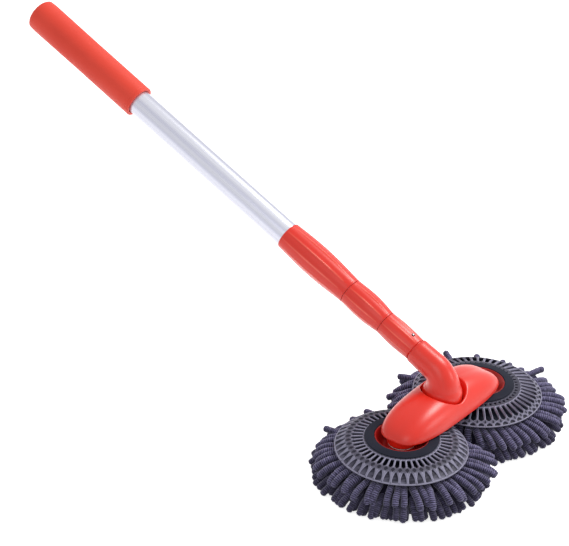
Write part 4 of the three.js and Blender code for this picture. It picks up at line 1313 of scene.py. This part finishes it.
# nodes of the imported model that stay, with their finishes
headSteel = [f"{end}_{label}" for end in headEnds
             for label in ("thrust_washer", "retaining_washer", "spindle_screw")]
keptNodes = {
    redGloss: ("red_plastic", ["yoke_base"]),
    plainSteel: ("steel", ["swivel_washer", "swivel_screw", "yoke_screw_1", "yoke_screw_2", *headSteel]),
    blackLock: ("black_plastic", ["outer_lock_body", "outer_clamp_ring", "middle_lock_body",
                                  "middle_clamp_ring", "middle_tube_glide", "inner_tube_glide"]),
    slateRing: ("slate_plastic", ["front_carrier", "back_carrier"]),
}
for material, (slotName, nodes) in keptNodes.items():
    for name in nodes:
        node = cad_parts[name]
        node.data.materials.clear()
        node.data.materials.append(material)

# floor, lamps and surroundings, in metres
studio = {
    "floorReach": 30, "floorGlow": 0.75, "skyStrength": 0.48,
    "aimShare": 0.4, "aimHeight": 0.1,  # the lamps' aim: a share of the way to the yoke's middle
    "lamps": [
        # name, place, size, power, colour
        ("keyLamp", (0.7, 1.4, 2.0), 0.8, 34.0, (1.0, 0.99, 0.97)),
        ("edgeLamp", (2.0, 1.1, 0.9), 0.6, 7.0, (1.0, 0.99, 0.98)),
        ("sideLamp", (0.9, -1.9, 1.5), 1.3, 7.5, (0.98, 0.99, 1.0)),
    ],
}


# 1 for what the camera sees directly, by reflection or through glass
def backdropRays(tree):
    rays = addNode(tree, "LightPath").outputs
    glossy = doMath(tree, "MAXIMUM", rays["Is Camera Ray"], rays["Is Glossy Ray"])
    return doMath(tree, "MAXIMUM", glossy, rays["Is Transmission Ray"])


def makeStudio(setup):
    scene.world = bpy.data.worlds.new("studioWorld")
    scene.world.use_nodes = True
    tree = scene.world.node_tree
    white = (1, 1, 1, 1)
    strength = shareOf(tree, backdropRays(tree), 0, 1, (setup["skyStrength"], 1.0))
    fill(tree, tree.nodes["Background"], {"Color": white, "Strength": strength})

    material, tree, shader = newMaterial("paleFloor", {
        "Base Color": white, "Roughness": 0.9, "Specular IOR Level": 0.0, "Emission Color": white,
    })
    glow = shareOf(tree, backdropRays(tree), 0, 1, (0.0, setup["floorGlow"]))
    fill(tree, shader, {"Emission Strength": glow})
    reach = setup["floorReach"]
    mesh = bpy.data.meshes.new("floor")
    mesh.from_pydata([(-reach, -reach, 0), (reach, -reach, 0), (reach, reach, 0), (-reach, reach, 0)], [],
                     [(0, 1, 2, 3)])
    mesh.materials.append(material)
    floor = bpy.data.objects.new("floor", mesh)
    scene.collection.objects.link(floor)
    for name, place, across, power, colour in setup["lamps"]:
        data = bpy.data.lights.new(name, "AREA")
        data.shape, data.size, data.energy, data.color = "SQUARE", across, power, colour
        lamp = bpy.data.objects.new(name, data)
        aim = Vector((yokeX * mm * setup["aimShare"], 0, setup["aimHeight"])) - Vector(place)
        lamp.matrix_world = Matrix.Translation(place) @ aim.to_track_quat("-Z", "Y").to_matrix().to_4x4()
        scene.collection.objects.link(lamp)


makeStudio(studio)
print("studio made")
